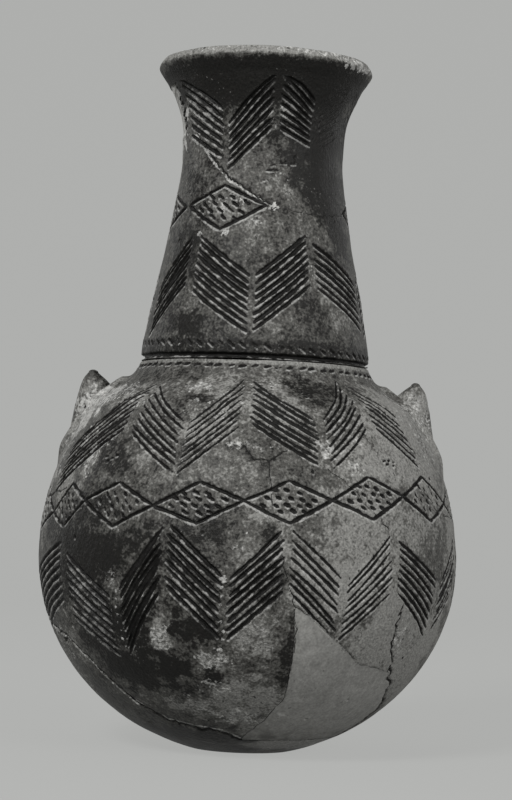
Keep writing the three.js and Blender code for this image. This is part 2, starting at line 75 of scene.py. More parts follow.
class FlaskSizes(bpy.types.PropertyGroup):
    """Sizes of the flask"""
    belly_radius: bpy.props.FloatProperty(
        name="Belly radius", description="Widest radius of the body, in mm", default=104.0, min=1)
    belly_height: bpy.props.FloatProperty(
        name="Belly height", description="Height of the widest level, in mm", default=94.0)
    lower_depth: bpy.props.FloatProperty(
        name="Lower depth", description="Half height of the ellipse below the belly, in mm", default=97.0)
    upper_depth: bpy.props.FloatProperty(
        name="Upper depth", description="Half height of the ellipse above the belly, in mm", default=114.0)
    wall: bpy.props.FloatProperty(
        name="Wall", description="Thickness of the body wall, in mm", default=7.5)
    grain: bpy.props.FloatProperty(
        name="Grain", description="Size of one facet of the carved surface, in mm", default=0.47, min=0.2)
    stroke_width: bpy.props.FloatProperty(
        name="Stroke width", description="Width of an incised stroke, in mm", default=2.1)
    stroke_depth: bpy.props.FloatProperty(
        name="Stroke depth", description="Depth of an incised stroke, in mm", default=1.15)
    unevenness: bpy.props.FloatProperty(
        name="Unevenness", description="How far the hand-built wall strays, in mm", default=0.4)


class FlaskColours(bpy.types.PropertyGroup):
    """Colours of the flask"""
    # Dark clay is also the colour of the painted shade at the bottom and under the rim
    dark_clay: bpy.props.FloatVectorProperty(
        name="Dark clay", description="Burnished, smoked clay", subtype="COLOR",
        default=(0.0085, 0.0082, 0.0074))
    clay: bpy.props.FloatVectorProperty(
        name="Clay", description="The usual colour of the surface", subtype="COLOR",
        default=(0.056, 0.055, 0.0505))
    pale_clay: bpy.props.FloatVectorProperty(
        name="Pale clay", description="Worn and rubbed clay", subtype="COLOR",
        default=(0.168, 0.1665, 0.157))
    lime: bpy.props.FloatVectorProperty(
        name="Lime", description="White filling of the strokes", subtype="COLOR",
        default=(0.41, 0.408, 0.392))
    # Dirt also paints the shade inside the strokes and the shadow line beside the neck's break
    dirt_and_shade: bpy.props.FloatVectorProperty(
        name="Dirt", description="Black dirt in strokes, breaks and pits", subtype="COLOR",
        default=(0.0045, 0.0043, 0.0039))
    plaster: bpy.props.FloatVectorProperty(
        name="Plaster", description="Toned plaster of the mends", subtype="COLOR",
        default=(0.196, 0.1945, 0.184))


class StageSettings(bpy.types.PropertyGroup):
    """The backdrop's colour and the camera"""
    backdrop: bpy.props.FloatVectorProperty(
        name="Backdrop", description="Colour of floor and backdrop", subtype="COLOR",
        default=(0.49, 0.495, 0.484))
    distance: bpy.props.FloatProperty(
        name="Camera distance", description="From the axis of the flask, in metres", default=1.125,
        subtype="DISTANCE")
    height: bpy.props.FloatProperty(
        name="Camera height", description="Above the floor, in metres", default=0.127,
        subtype="DISTANCE")
    pitch: bpy.props.FloatProperty(
        name="Pitch", description="How far the camera looks up", default=math.radians(2.34),
        subtype="ANGLE")
    roll: bpy.props.FloatProperty(
        name="Roll", description="How far the camera leans", default=math.radians(2.15),
        subtype="ANGLE")
    pan: bpy.props.FloatProperty(
        name="Pan", description="How far the camera looks to the right of the axis",
        default=math.radians(0.066), subtype="ANGLE")
    focal: bpy.props.FloatProperty(
        name="Focal length", description="For a frame 24 mm high", default=67.5)


# Measures of the flask in mm and degrees, from the worn spot up and from the front towards +X

BASE_RING = 8.5
SHOULDER_TOP = 190.0
SHOULDER_SLOPE = [(77.9, 169.5), (69.9, 175.6), (62.4, 181.5), (58.9, 186.6), (57.2, 190)]
MOUTH_RADIUS = 50.0
BASE_WALL = 7.0
NECK_WALL = 6.5
NECK_GAP = 0.1
NECK_FOOT_RADIUS = 56.7
NECK_OUTLINE = [(57, 197), (53.6, 216), (47.5, 246), (42, 277), (40.4, 294), (42, 313), (48.2, 328)]
TONGUE_RADIUS = 49.7
TONGUE_INNER = 44.5
TONGUE_FOOT = 181.0
TONGUE_TOP = 228.0
RIM_FOOT = 328.0
RIM_JOINT_RISE = 2.5
RIM_OUTLINE = [(51.6, 333.4), (53.8, 337.5), (52, 341.2), (50.4, 342), (47, 340.4)]
PAD_HOLE = 0.5
LUG_FOOT = 126.0
LUG_TOP = 184.5
LUG_TOP_LEFT = 185.2
LUG_THICKNESS = 16.0
LUG_TAPER = 0.55
LUG_OUTER_EDGE = [(99, 126), (94.8, 140), (91.5, 155), (89.4, 167), (87.8, 174.5), (86, 179.8), (83.4, 183.2)]
LUG_INNER_EDGE = [(70, 126), (67, 150), (66, 166), (68, 173.5), (72.6, 178.6), (77.8, 182.9)]
LUG_POINT_RADIUS = 80.6
PEG_RADIUS = 6.5
PEG_HEIGHT = 162.0
PEG_TILT = 34.0
PEG_GAP = 0.3
WALL_AT_PEG = 7.5
WAD_RADIUS = 13.0
WAD_THICKNESS = 5.5
WAD_GAP = 0.3
LUG_SINK = 1.5
PEG_IN_LUG = 2

# Fineness: columns round each wall, mm between rows, and cells to one face of the hollow side
COARSER = 1
BLOCK = 8
BODY_COLUMNS = 1400 // (BLOCK * COARSER) * BLOCK
NECK_COLUMNS = 720 // (BLOCK * COARSER) * BLOCK
PAD_COLUMNS = 320
NECK_GRAIN = 0.5 * COARSER
RIM_GRAIN = 0.45 * COARSER
PAD_GRAIN = 0.8
HIDDEN_GRAIN = 4
INSIDE_POINTS = 400
CURVE_STEPS = 24
RIM_CURVE_STEPS = 20
LUG_CURVE_STEPS = 12
LUG_ROWS = 70
LUG_COLUMNS = 120
LUG_TIP_ROWS = 8
PEG_COLUMNS = 40
WAD_ROWS = 28
WAD_COLUMNS = 72
TURNED_COLUMNS = 160

# A pressed stroke in mm: its ragged sides, their slope, and the raised edges beside it
STROKE_RAG = 0.22
SIDE_INWARDS = 0.75
SIDE_OUTWARDS = 0.15
BURR = 0.16
BURR_AWAY = 0.45
BURR_WIDTH = 0.4
BLUNT_ENDS = 0.001

# A break's line is drawn in steps of this many mm, with a degree taken as this many mm
CRACK_STEP = 2.2
MM_PER_DEGREE = 1.7

# Painted masks: each colour attribute of a mesh, and what its four channels hold. The cut mask darkens the
# strokes with dirt and painted shade, the dark mask holds smoke stains and painted shade, and the ledge mask
# holds a painted highlight
MASKS = {"carved": ("cut", "lime", "plaster", "crack"), "worn": ("pale", "dark", "hollow", "ledge_highlight")}
MARKS = [mark for channels in MASKS.values() for mark in channels]

# Bake sheet of each piece: where a band starts and how tall it is, and the margin at its sides
SHEET_OUTSIDE = 0.01, 0.65
SHEET_HOLLOW = 0.68, 0.29
SHEET_EDGES = 0.975, 0.02
SHEET_MARGIN = 0.005

# Stage in metres: floor and backdrop, and lamps as name, place, power in watts and size
FLOOR_FRONT = -2.6
BEND_START = 1.2
BEND_RADIUS = 1.0
BACKDROP_HALF_WIDTH = 3.2
BACKDROP_TOP = 3.4
SENSOR_HEIGHT = 24
LAMP_AIM = Vector((0, 0, 0.17))
LAMPS = [("key_lamp", (-0.75, -1.35, 1.25), 37, 0.5), ("fill_lamp", (1.35, -1.25, 0.75), 22, 1.1),
         ("edge_lamp", (-1.5, 0.95, 0.7), 5, 0.9), ("edge_lamp", (1.5, 0.95, 0.7), 5, 0.9)]
WORLD_GREY = 0.8
WORLD_STRENGTH = 0.34
PAPER_ROUGHNESS = 0.95
PAPER_SHADE = 0.5
GLOW_SHARE = 0.8

# Finishes: paleness and roughness of the two clays, weak gloss of both, and their relief in mm
CLAYS = {"dark_burnished_clay": (-0.08, 0.50), "pale_worn_clay": (0.08, 0.56)}
SPECULAR = 0.12
CLAY_RELIEF = 0.35
PLASTER_RELIEF = 0.1

# Break lines, as (angle, height)
SHOULDER_BREAK = [(-180, 138), (-150, 130), (-120, 120), (-90, 117), (-62, 126), (-35, 141), (-15, 150),
                  (-3, 149), (1.3, 142.2), (5, 142), (13, 149), (22, 139), (45, 127), (68, 119),
                  (90, 117), (120, 124), (150, 132), (180, 138)]
FRONT_BREAK = [(5, 142), (5.3, 131), (6.2, 119.7), (8.6, 99), (10.4, 87), (12.7, 75.2), (13.8, 60),
               (14.2, 39.8), (14, 31.5), (9.7, 20.2), (0, BASE_RING)]
RIGHT_BREAK = [(22, 139), (25.2, 135.9), (36.9, 116.8), (43, 98), (46.5, 76.5), (45, 67), (47, 57),
               (51.5, 43.4), (56.3, 36.5), (62, 29.6), (67, 20), (69, BASE_RING)]
FILL_TOP = [(12.7, 75.2), (19, 68.9), (25, 60.8), (34.8, 49.1), (51.5, 43.4)]
LOWER_LEFT_BREAK = [(-105, 66), (-84, 62), (-63.9, 54.3), (-54.6, 43.6), (-43.5, 25.1), (-32.6, 16.7),
                    (-8.3, 12.8), (0, BASE_RING)]
LOWER_BACK_BREAK = [(120, 60), (140, 66), (180, 62), (210, 57), (255, 66)]
BACK_LEFT_BREAK = [(-120, 120), (-112, 98), (-105, 66), (-112, 40), (-118, BASE_RING)]
BACK_RIGHT_BREAK = [(120, 124), (114, 100), (120, 60), (128, 34), (122, BASE_RING)]
BACK_BREAK = [(180, 138), (186, 110), (180, 62)]
SHOULDER_LEFT_BREAK = [(-15, 150), (-23, 166), (-19, 194)]
SHOULDER_RIGHT_BREAK = [(22, 139), (31, 160), (27, 194)]
SHOULDER_BACK_BREAK = [(180, 138), (172, 164), (178, 194)]
NECK_BREAK = [(-180, 292), (-130, 299), (-84, 304), (-55.3, 301.5), (-39.7, 289.3), (-23.1, 278.3),
              (-7.2, 270.8), (7.2, 264.8), (40, 262), (90, 268), (140, 281), (180, 292)]
NECK_FILL_LEFT = [(-108, 301), (-104, 316), (-110, 336)]
NECK_FILL_RIGHT = [(-72, 301), (-77, 315), (-70, 336)]

# Worn, smoked and limy places, with painted shade at the bottom and the rim's painted shadow on the neck, by
# kind: angle, height, half width and half height in mm, amount
BODY_STAINS_AND_SHADE = {
    "pale": [
        (-84, 165, 22, 24, 1.2), (-82, 128, 14, 44, 1.0), (84, 158, 18, 26, 1.1), (-46, 168, 26, 12, 0.7),
        (-20, 176, 22, 9, 0.55), (4, 170, 22, 16, 0.6), (62, 163, 26, 24, 1.3), (100, 160, 30, 30, 0.5),
        (38, 143, 28, 12, 0.95), (-8, 136, 18, 10, 0.55), (-32, 141, 10, 6, 0.8), (-14, 155, 16, 8, 0.9),
        (-24, 133, 14, 6, 0.5), (62, 140, 22, 18, 0.95), (32, 112, 32, 18, 0.85), (26, 88, 28, 16, 1.15),
        (52, 112, 16, 18, 0.5), (76, 112, 16, 30, 1.1), (-1, 106, 9, 13, 0.55), (6, 118, 12, 7, 0.7),
        (44, 62, 26, 26, 1.15), (64, 50, 26, 34, 1.25), (2, 64, 12, 12, 0.95), (2, 28, 20, 22, 1.25),
        (-23.5, 58, 9, 10, 1.1), (-9, 49, 9, 6, 1.0), (-17, 25, 16, 9, 1.0), (-38.7, 83, 7, 5, 0.4),
        (-53.6, 140, 9, 9, 0.6), (-76, 36, 12, 24, 0.75), (-62, 128, 16, 12, 1.1), (-58, 152, 14, 10, 0.9),
        (-60, 52, 10, 14, 0.7), (150, 90, 34, 24, 0.6), (215, 165, 30, 16, 0.6), (110, 60, 24, 24, 0.5)],
    "lime": [
        (74, 160, 16, 24, 0.46), (-78, 166, 24, 20, 0.75), (-78, 138, 9, 40, 0.5), (-62, 174, 16, 8, 0.5),
        (84, 167, 13, 14, 0.5), (-53.4, 139.5, 6, 8, 0.62), (-47, 150.2, 2.6, 4, 0.6),
        (-62, 146, 6, 14, 0.5), (-45.5, 169, 13, 5, 0.5), (-21.5, 175.5, 7, 4.5, 0.52),
        (-4.8, 149, 5, 3, 0.5), (5, 178, 9, 5, 0.4), (22.2, 148, 4.5, 6.5, 0.62), (30, 140, 6, 4, 0.5),
        (4, 148, 10, 2.5, 0.36), (33.5, 152, 6, 6, 0.42), (-12, 165, 14, 9, 0.42), (4.1, 116, 5, 3, 0.42),
        (-1.5, 103, 4, 6, 0.36), (-23.5, 58, 7, 8, 0.55), (-8.8, 49.6, 9, 6, 0.55), (-8, 36, 10, 5, 0.5),
        (-38.7, 83, 6, 5, 0.36), (-18, 27, 14, 6, 0.46), (-74, 38, 12, 24, 0.46), (49, 61, 5, 9, 0.5),
        (0, 21, 18, 7, 0.5), (3, 62, 9, 9, 0.4), (165, 128, 16, 10, 0.5), (240, 80, 12, 16, 0.5)],
    "dark": [
        (-46, 96, 30, 13, 1.0), (-58, 92, 22, 22, 0.55), (-42, 60, 26, 18, 0.75), (-33, 42, 26, 13, 1.15),
        (-14, 63, 12, 8, 1.0), (-9, 40, 8, 4, 0.9), (-50, 116, 18, 12, 0.5), (-42, 139, 13, 8, 0.7),
        (-48, 147, 6, 5, 0.6), (-60, 104, 20, 8, 0.6), (-17, 171, 7, 6, 0.75), (22, 176, 18, 11, 0.7),
        (14, 137, 14, 5, 0.3), (-9, 111, 13, 8, 0.55), (5.7, 109, 4, 5, 0.6), (-22, 96, 22, 14, 0.4),
        # The last entry, (-40, 7), is painted shade along the bottom, where the flask stands
        (20.6, 104, 7, 4, 0.45), (5, 86, 9, 9, 0.45), (13, 52, 4, 22, 0.5), (-40, 7, 58, 11, 1.4),
        (-86, 96, 14, 30, 0.35), (190, 70, 60, 34, 0.8), (235, 120, 40, 26, 0.6), (150, 150, 30, 18, 0.5)],
}
NECK_STAINS_AND_SHADE = {
    "dark": [
        # (54, 300) and (56, 283) are a real stain with the rim's painted shadow on it
        (54, 300, 26, 44, 1.0), (56, 283, 7, 22, 1.0), (58, 250, 9, 12, 0.8), (-25, 317, 20, 8, 0.8),
        (24, 312, 16, 14, 0.6), (-50, 243, 12, 14, 0.7), (-50, 272, 10, 14, 0.5), (-60, 290, 10, 8, 0.3),
        (-36.5, 207, 20, 6, 0.7), (25, 212, 14, 9, 0.5), (120, 300, 40, 30, 0.7), (200, 240, 30, 30, 0.6)],
    "pale": [
        (10, 277, 8, 8, 0.4), (-2, 287, 16, 8, 0.3), (12, 293, 5, 9, 0.4), (4, 251, 14, 10, 0.4),
        (-3.8, 256, 7, 8, 0.3), (-24, 260, 10, 8, 0.35), (42, 229, 10, 12, 0.7), (46, 212, 12, 10, 0.5),
        (5, 213, 18, 8, 0.7), (-30, 217, 12, 6, 0.4), (-52, 291, 8, 8, 0.55), (30, 256, 10, 14, 0.35),
        (-86, 270, 6, 34, 1.0), (160, 215, 24, 16, 0.7)],
    "lime": [
        (12, 312.5, 1.6, 3, 0.62), (9, 305, 1.5, 2, 0.5), (-88, 316, 14, 22, 1.2), (-88, 285, 4, 22, 0.8),
        (-88, 250, 3, 20, 0.5), (8.5, 265, 2, 2.2, 1.0), (-6.8, 242, 1.6, 6, 0.42), (10, 277, 8, 6, 0.33),
        (-3.8, 257, 5, 3, 0.5), (47, 231, 5, 4, 0.4), (32, 232, 3, 6, 0.36), (-39, 251.5, 1.5, 2, 0.8),
        (-21.5, 251.5, 2.5, 2.2, 0.7), (-19, 267, 14, 5, 0.42)],
}
RIM_STAINS = {
    "lime": [
        (20, 341, 12, 3, 0.5), (62, 338, 18, 4, 0.72), (38, 341, 16, 2.5, 0.6), (-40, 341, 14, 2, 0.4)],
}

# Places where the surface is gone: angle, height, half width and half height in mm, depth, seed
BODY_CHIPS = [(3.5, 146.5, 7, 3, 0.5, 61), (50, 66, 8, 15, 0.5, 62), (47, 60, 3, 5, 1.0, 63),
              (-66, 52, 4, 2.5, 1.2, 64), (200, 75, 11, 7, 0.6, 65), (143, 48, 8, 12, 0.5, 66)]
RIM_CHIPS = [(28, 341, 5, 2.5, 0.9, 71), (48, 340, 6, 3, 1.1, 72), (70, 339, 5, 3, 0.9, 73),
             (-50, 341, 6, 2, 0.6, 74), (150, 340.5, 7, 3, 0.9, 75), (-130, 340, 5, 3, 0.8, 76)]

# Worn, smoked and limy places of the lugs: kind, centre and half size in mm, amount
LUG_STAINS = {
    "left_lug": [("pale", (-80, 0, 150), (40, 40, 60), 1.0), ("lime", (-81, -8, 162), (12, 10, 20), 0.66),
                 ("dark", (-81, -2, 185), (10, 11, 6), 0.8), ("dark", (-90, -3, 166), (2, 8, 6), 0.9),
                 ("dark", (-80, -8, 171), (3, 4, 3), 0.8), ("dark", (-73.5, -4, 177.5), (3, 7, 4), 0.9)],
    "right_lug": [("pale", (80, 0, 150), (40, 40, 60), 1.0), ("lime", (80, -8, 162), (12, 10, 20), 0.58),
                  ("dark", (80, -2, 185), (8, 11, 6), 0.6), ("dark", (91, -2, 168), (4, 10, 7), 1.1)],
}


def smooth_step(x, low, high):
    """From 0 at low to 1 at high, without a corner."""
    t = np.clip((x - low) / (high - low), 0.0, 1.0)
    return t * t * (3.0 - 2.0 * t)


def run_along(points):
    """How far along a line of points each point lies."""
    return np.r_[0, np.cumsum(np.hypot(*np.diff(points, axis=0).T))]


def resample(points, count):
    """The line redrawn with that many evenly spaced points."""
    points = np.array(points, float)
    run = run_along(points)
    t = np.linspace(0, run[-1], count)
    return np.c_[np.interp(t, run, points[:, 0]), np.interp(t, run, points[:, 1])]


def line_at(line, where, by_height=False):
    """The other coordinate of a break line at these angles, or at these heights."""
    a, z = np.array(line, float).T
    known, wanted = (z, a) if by_height else (a, z)
    order = np.argsort(known)
    return np.interp(where, known[order], wanted[order])


def spline(points, steps):
    """A smooth curve through the points, with that many steps between each two."""
    p = np.array(points, float)
    p = np.vstack([2 * p[0] - p[1], p, 2 * p[-1] - p[-2]])
    t = np.linspace(0, 1, steps, endpoint=False)[:, None]
    out = []
    for a, b, c, d in zip(p[:-3], p[1:-2], p[2:-1], p[3:]):
        out.append(0.5 * (2 * b + (c - a) * t + (2 * a - 5 * b + 4 * c - d) * t**2
                          + (3 * b - a - 3 * c + d) * t**3))
    return np.vstack(out + [p[-2:-1]])


def spokes(angles):
    """Steps of one outwards at angles in degrees, counted from the front towards +X."""
    turn = np.radians(angles)
    return np.c_[np.sin(turn), -np.cos(turn)]


def turned(radius, level, spoke):
    """The points of an outline turned round the axis, as rows and columns."""
    flat = radius[:, None, None] * spoke[None]
    return np.dstack([flat, np.repeat(level[:, None], len(spoke), 1)])


def waves(places, size, count, seed):
    """Smooth unevenness from -1 to 1 over places in mm, with humps of about that size."""
    rng = np.random.default_rng(seed)
    total = np.zeros(places.shape[:-1])
    for _ in range(count):
        way = rng.normal(size=3)
        way *= 2 * math.pi / (size * rng.uniform(1.5, 3.2)) / np.linalg.norm(way)
        total += np.cos(places @ way + rng.uniform(0, 2 * math.pi))
    return total / math.sqrt(count) / 1.6


class Wall:
    """A turned wall unrolled to rows along its outline and columns round it, ready for carving."""

    def __init__(self, outline, inside, columns, grain, coarse_start=0.0, coarse_end=0.0):
        outline = np.array(outline, float)
        run = run_along(outline)
        stops = 0, coarse_start, run[-1] - coarse_end, run[-1]
        sizes = grain * HIDDEN_GRAIN, grain, grain * HIDDEN_GRAIN
        self.run = np.r_[tuple(np.linspace(a, b, max(round((b - a) / size), 1), endpoint=False)
                               for a, b, size in zip(stops, stops[1:], sizes) if b > a) + (run[-1],)]
        self.rows = len(self.run)
        self.columns = columns
        self.radius = np.interp(self.run, run, outline[:, 0])
        self.level = np.interp(self.run, run, outline[:, 1])
        inside = resample(inside, INSIDE_POINTS)
        share = self.run / run[-1] * (INSIDE_POINTS - 1)
        self.inner_radius = np.interp(share, np.arange(INSIDE_POINTS), inside[:, 0])
        self.inner_level = np.interp(share, np.arange(INSIDE_POINTS), inside[:, 1])
        along = np.gradient(np.c_[self.radius, self.level], axis=0)
        along /= np.linalg.norm(along, axis=1)[:, None]
        self.out = np.c_[along[:, 1], -along[:, 0]]
        self.angle = np.arange(columns) * FULL / columns - FULL / 2
        self.height = np.zeros((self.rows, columns))
        self.cuts = np.zeros((self.rows, columns))
        self.marks = {name: np.zeros((self.rows, columns)) for name in MARKS}
        self.spoke = spokes(self.angle)
        self.places = turned(self.radius, self.level, self.spoke)
        self.rag = waves(self.places, 2.3, 18, 5)

    def window(self, low_angle, high_angle, low_run, high_run):
        """Rows and columns of a patch, with its angles unrolled past the seam."""
        rows = np.arange(np.searchsorted(self.run, low_run), np.searchsorted(self.run, high_run))
        pitch = FULL / self.columns
        first = math.floor((low_angle + FULL / 2) / pitch)
        last = math.ceil((high_angle + FULL / 2) / pitch)
        columns = np.arange(first, min(last, first + self.columns - 1) + 1)
        return rows, columns % self.columns, columns * pitch - FULL / 2

    def run_at(self, level):
        """How far along the outline a height is first reached."""
        rising = self.rising()
        return np.interp(level, self.level[rising], self.run[rising])

    def rising(self):
        """The rows that lie higher than every row before them."""
        return np.flatnonzero(np.r_[True, np.diff(np.maximum.accumulate(self.level)) > 1e-6])

    def near(self, path, reach):
        """Distance to a path, and how far along it, over the patch that it can touch."""
        path = np.array(path, float)
        runs = self.run_at(path[:, 1])
        scales = math.radians(1) * np.interp(runs, self.run, self.radius)
        margin = reach / scales.min()
        rows, columns, angles = self.window(path[:, 0].min() - margin, path[:, 0].max() + margin,
                                            runs.min() - reach, runs.max() + reach)
        run = self.run[rows]
        scales = (scales[:-1] + scales[1:]) / 2
        lengths = np.hypot(np.diff(path[:, 0]) * scales, np.diff(runs))
        best = np.full((len(rows), len(columns)), 1e9)
        along = np.zeros_like(best)
        done = 0.0
        for k, (scale, length) in enumerate(zip(scales, lengths)):
            ax, bx = path[k:k + 2, 0] * scale
            ay, by = runs[k:k + 2]
            across = slice(*np.searchsorted(angles * scale, [min(ax, bx) - reach, max(ax, bx) + reach]))
            upward = slice(*np.searchsorted(run, [min(ay, by) - reach, max(ay, by) + reach]))
            x = (angles[across] * scale)[None, :] - ax
            y = run[upward][:, None] - ay
            ux, uy = (bx - ax) / max(length, 1e-6), (by - ay) / max(length, 1e-6)
            t = np.clip(x * ux + y * uy, 0, length)
            far = np.hypot(x - t * ux, y - t * uy)
            closer = far < best[upward, across]
            best[upward, across] = np.where(closer, far, best[upward, across])
            along[upward, across] = np.where(closer, done + t, along[upward, across])
            done += length
        return np.ix_(rows, columns), best, along / max(done, 1e-6)

    def oval(self, angle, level, wide, high, margin):
        """The cells round a place, and how far each is from it, where 1 is the edge of an oval."""
        run = float(self.run_at(level))
        scale = math.radians(1) * max(float(np.interp(run, self.run, self.radius)), 1)
        rows, columns, angles = self.window(angle - margin * wide / scale, angle + margin * wide / scale,
                                            run - margin * high, run + margin * high)
        far = np.hypot(((angles - angle) * scale / wide)[None, :], ((self.run[rows] - run) / high)[:, None])
        return np.ix_(rows, columns), far

    def raise_mark(self, name, amount, where=slice(None)):
        """Paints a mask wherever this is more than it already holds."""
        mark = self.marks[name]
        mark[where] = np.maximum(mark[where], amount)

    def groove(self, path, width, depth, lime=0.0, burr=BURR, taper=0.12):
        """A stroke pressed in with a blunt point: a round trough with a raised edge on each side."""
        where, far, along = self.near(path, width * 2.2)
        ends = smooth_step(np.minimum(along, 1 - along), -0.01, taper)
        half = width / 2 * (0.7 + 0.3 * ends) + STROKE_RAG * self.rag[where]
        trough = (1 - smooth_step(far, half - SIDE_INWARDS, half + SIDE_OUTWARDS)) * (0.5 + 0.5 * ends)
        edge = np.exp(-(((far - half - BURR_AWAY) / BURR_WIDTH) ** 2)) * ends
        self.height[where] += burr * edge
        self.cuts[where] = np.maximum(self.cuts[where], depth * trough)
        self.raise_mark("cut", min(depth / 0.8, 1) * np.clip(0.5 + (half - far) / 1.5, 0, 1), where)
        if lime:
            self.raise_mark("lime", lime * np.exp(-((far / (half * 1.9)) ** 2)), where)

    def patch(self, name, angle, level, wide, high, amount, seed=0, rough=0.5):
        """A soft-edged stained or worn place, or a patch of painted shade, broken up by unevenness."""
        where, far = self.oval(angle, level, wide, high, 1.6)
        size = min(wide, high)
        rag = waves(self.places[where], size * 0.5, 14, 900 + seed) + 0.5 * waves(
            self.places[where], min(size * 0.2, 3), 14, 950 + seed)
        inner, outer = (0.65, 1.15) if name in ("lime", "plaster") else (0.4, 1.3)
        self.raise_mark(name, amount * (1 - smooth_step(far + rough * rag, inner, outer)), where)

    def stain_and_shade(self, places):
        """All the worn, smoked and limy places and the painted shade of one table."""
        for name, group in places.items():
            for angle, level, wide, high, amount in group:
                self.patch(name, angle, level, wide, high, amount, seed=int(angle * 3 + level))

    def paint_stroke_highlights(self):
        """Paints a highlight on the side of each stroke that faces up, toward the light from above, and on
        the lip just below each stroke.
        """
        rise = np.clip(np.gradient(self.cuts, self.run, axis=0) / 1.6, 0, 1)
        up = max(round(0.9 / float(np.median(np.diff(self.run)))), 1)
        cut = self.marks["cut"]
        rim = np.roll(cut, -up, axis=0) * (1 - cut)
        self.marks["ledge_highlight"] = np.maximum(0.5 * rise, rim)


# Sherds: which piece each cell of the wall belongs to

def between(angle, low, high):
    """True where angle lies between two lines, counted towards +X."""
    return (angle - low) % FULL < (high - low) % FULL


def body_sherds(angle, level):
    """The name of the body sherd at each angle and height."""
    name = np.full(np.broadcast(angle, level).shape, "", dtype=object)
    front, right, back_right, back, back_left = (
        line_at(line, level, by_height=True)
        for line in (FRONT_BREAK, RIGHT_BREAK, BACK_RIGHT_BREAK, BACK_BREAK, BACK_LEFT_BREAK))
    left_top, right_top, back_top = (
        line_at(line, level, by_height=True)
        for line in (SHOULDER_LEFT_BREAK, SHOULDER_RIGHT_BREAK, SHOULDER_BACK_BREAK))
    shoulder = level > line_at(SHOULDER_BREAK, angle)
    name[shoulder & between(angle, left_top, right_top)] = "shoulder_front_sherd"
    name[shoulder & between(angle, right_top, back_top)] = "shoulder_right_sherd"
    name[shoulder & between(angle, back_top, left_top)] = "shoulder_left_sherd"
    left_part = ~shoulder & between(angle, back_left, front)
    below = level < line_at(LOWER_LEFT_BREAK, angle)
    name[left_part & below] = "lower_left_sherd"
    name[left_part & ~below] = "belly_left_sherd"
    front_part = ~shoulder & between(angle, front, right)
    below = level < line_at(FILL_TOP, angle)
    name[front_part & below] = "plaster_fill"
    name[front_part & ~below] = "belly_front_sherd"
    name[~shoulder & between(angle, right, back_right)] = "belly_right_sherd"
    below = level < line_at(LOWER_BACK_BREAK, angle % FULL)
    back_part = ~shoulder & between(angle, back_right, back_left)
    name[back_part & below] = "lower_back_sherd"
    name[back_part & ~below & between(angle, back_right, back)] = "belly_back_right_sherd"
    name[back_part & ~below & between(angle, back, back_left)] = "belly_back_left_sherd"
    return name


def neck_sherds(angle, level):
    """The name of the neck's piece at each angle and height."""
    name = np.full(np.broadcast(angle, level).shape, "neck_lower_sherd", dtype=object)
    upper = level > line_at(NECK_BREAK, angle)
    name[upper] = "neck_upper_sherd"
    left = line_at(NECK_FILL_LEFT, level, by_height=True)
    right = line_at(NECK_FILL_RIGHT, level, by_height=True)
    name[upper & between(angle, left, right)] = "neck_fill"
    return name


# Carving

def stroke(wall, start, end, width, depth, rng, lime=0.0, bow=0.25):
    """One pressed line between two (angle, height) places, slightly bowed and uneven as a hand makes it."""
    (a0, z0), (a1, z1) = start, end
    middle = (a0 + a1) / 2 + rng.uniform(-bow, bow), (z0 + z1) / 2 + rng.uniform(-bow, bow)
    wall.groove([start, middle, end], width * rng.uniform(0.86, 1.1), depth * rng.uniform(0.75, 1.1), lime)


def bundle(wall, start, first_pitch, end, last_pitch, count, lime=0.22, width=None, depth=1.0):
    """A bundle of strokes, each one pitch below the last."""
    sizes = bpy.context.scene.flask_sizes
    rng = np.random.default_rng(int(1000 + start[0] * 7 + end[1] * 13))
    for k in range(count):
        begin = start[0] + rng.uniform(-0.5, 0.5), start[1] - first_pitch * k + rng.uniform(-0.3, 0.3)
        stop = end[0] + rng.uniform(-0.6, 0.6), end[1] - last_pitch * k + rng.uniform(-0.3, 0.3)
        stroke(wall, begin, stop, width or sizes.stroke_width, depth * sizes.stroke_depth, rng, lime)


def zigzag(wall, apexes, half, gap, top, bottom, pitch, count, lime=0.16):
    """Bundles that rise to each apex and fall from it, round the parts that the photograph doesn't show."""
    for apex in apexes:
        bundle(wall, (apex - half + gap, bottom), pitch, (apex - gap, top), pitch, count, lime)
        bundle(wall, (apex + gap, top), pitch, (apex + half - gap, bottom), pitch, count, lime)


def lozenge(wall, left, top, right, bottom, seed, long, width, drop, lime=0.3):
    """A lozenge between four (angle, height) corners, with short slanting dashes of that length in mm."""
    sizes = bpy.context.scene.flask_sizes
    rng = np.random.default_rng(seed)
    corners = [left, top, right, bottom]
    for a, b in zip(corners, corners[1:] + corners[:1]):
        stroke(wall, a, b, sizes.stroke_width * 0.9, sizes.stroke_depth, rng, lime, bow=0.35)
    wide, high = (right[0] - left[0]) / 2, (top[1] - bottom[1]) / 2
    middle = (left[0] + right[0]) / 2, (top[1] + bottom[1]) / 2
    rising = wall.rising()
    reach = long / 2 / (math.radians(1) * np.interp(middle[1], wall.level[rising], wall.radius[rising]))
    for up, count, shift in ((0.48, 3, -0.05), (0.16, 5, 0.05), (-0.16, 5, -0.05), (-0.48, 3, 0.05)):
        room = (1 - abs(up)) * 0.76
        for k in range(count):
            across = room * (2 * (k + 0.5) / count - 1) + shift
            a = middle[0] + wide * across + rng.uniform(-0.4, 0.4)
            z = middle[1] + high * up + rng.uniform(-0.7, 0.7)
            wall.groove([(a - reach, z + drop / 2), (a + reach, z - drop / 2)],
                        width * rng.uniform(0.85, 1.2), 1.1 * rng.uniform(0.8, 1.1), lime)


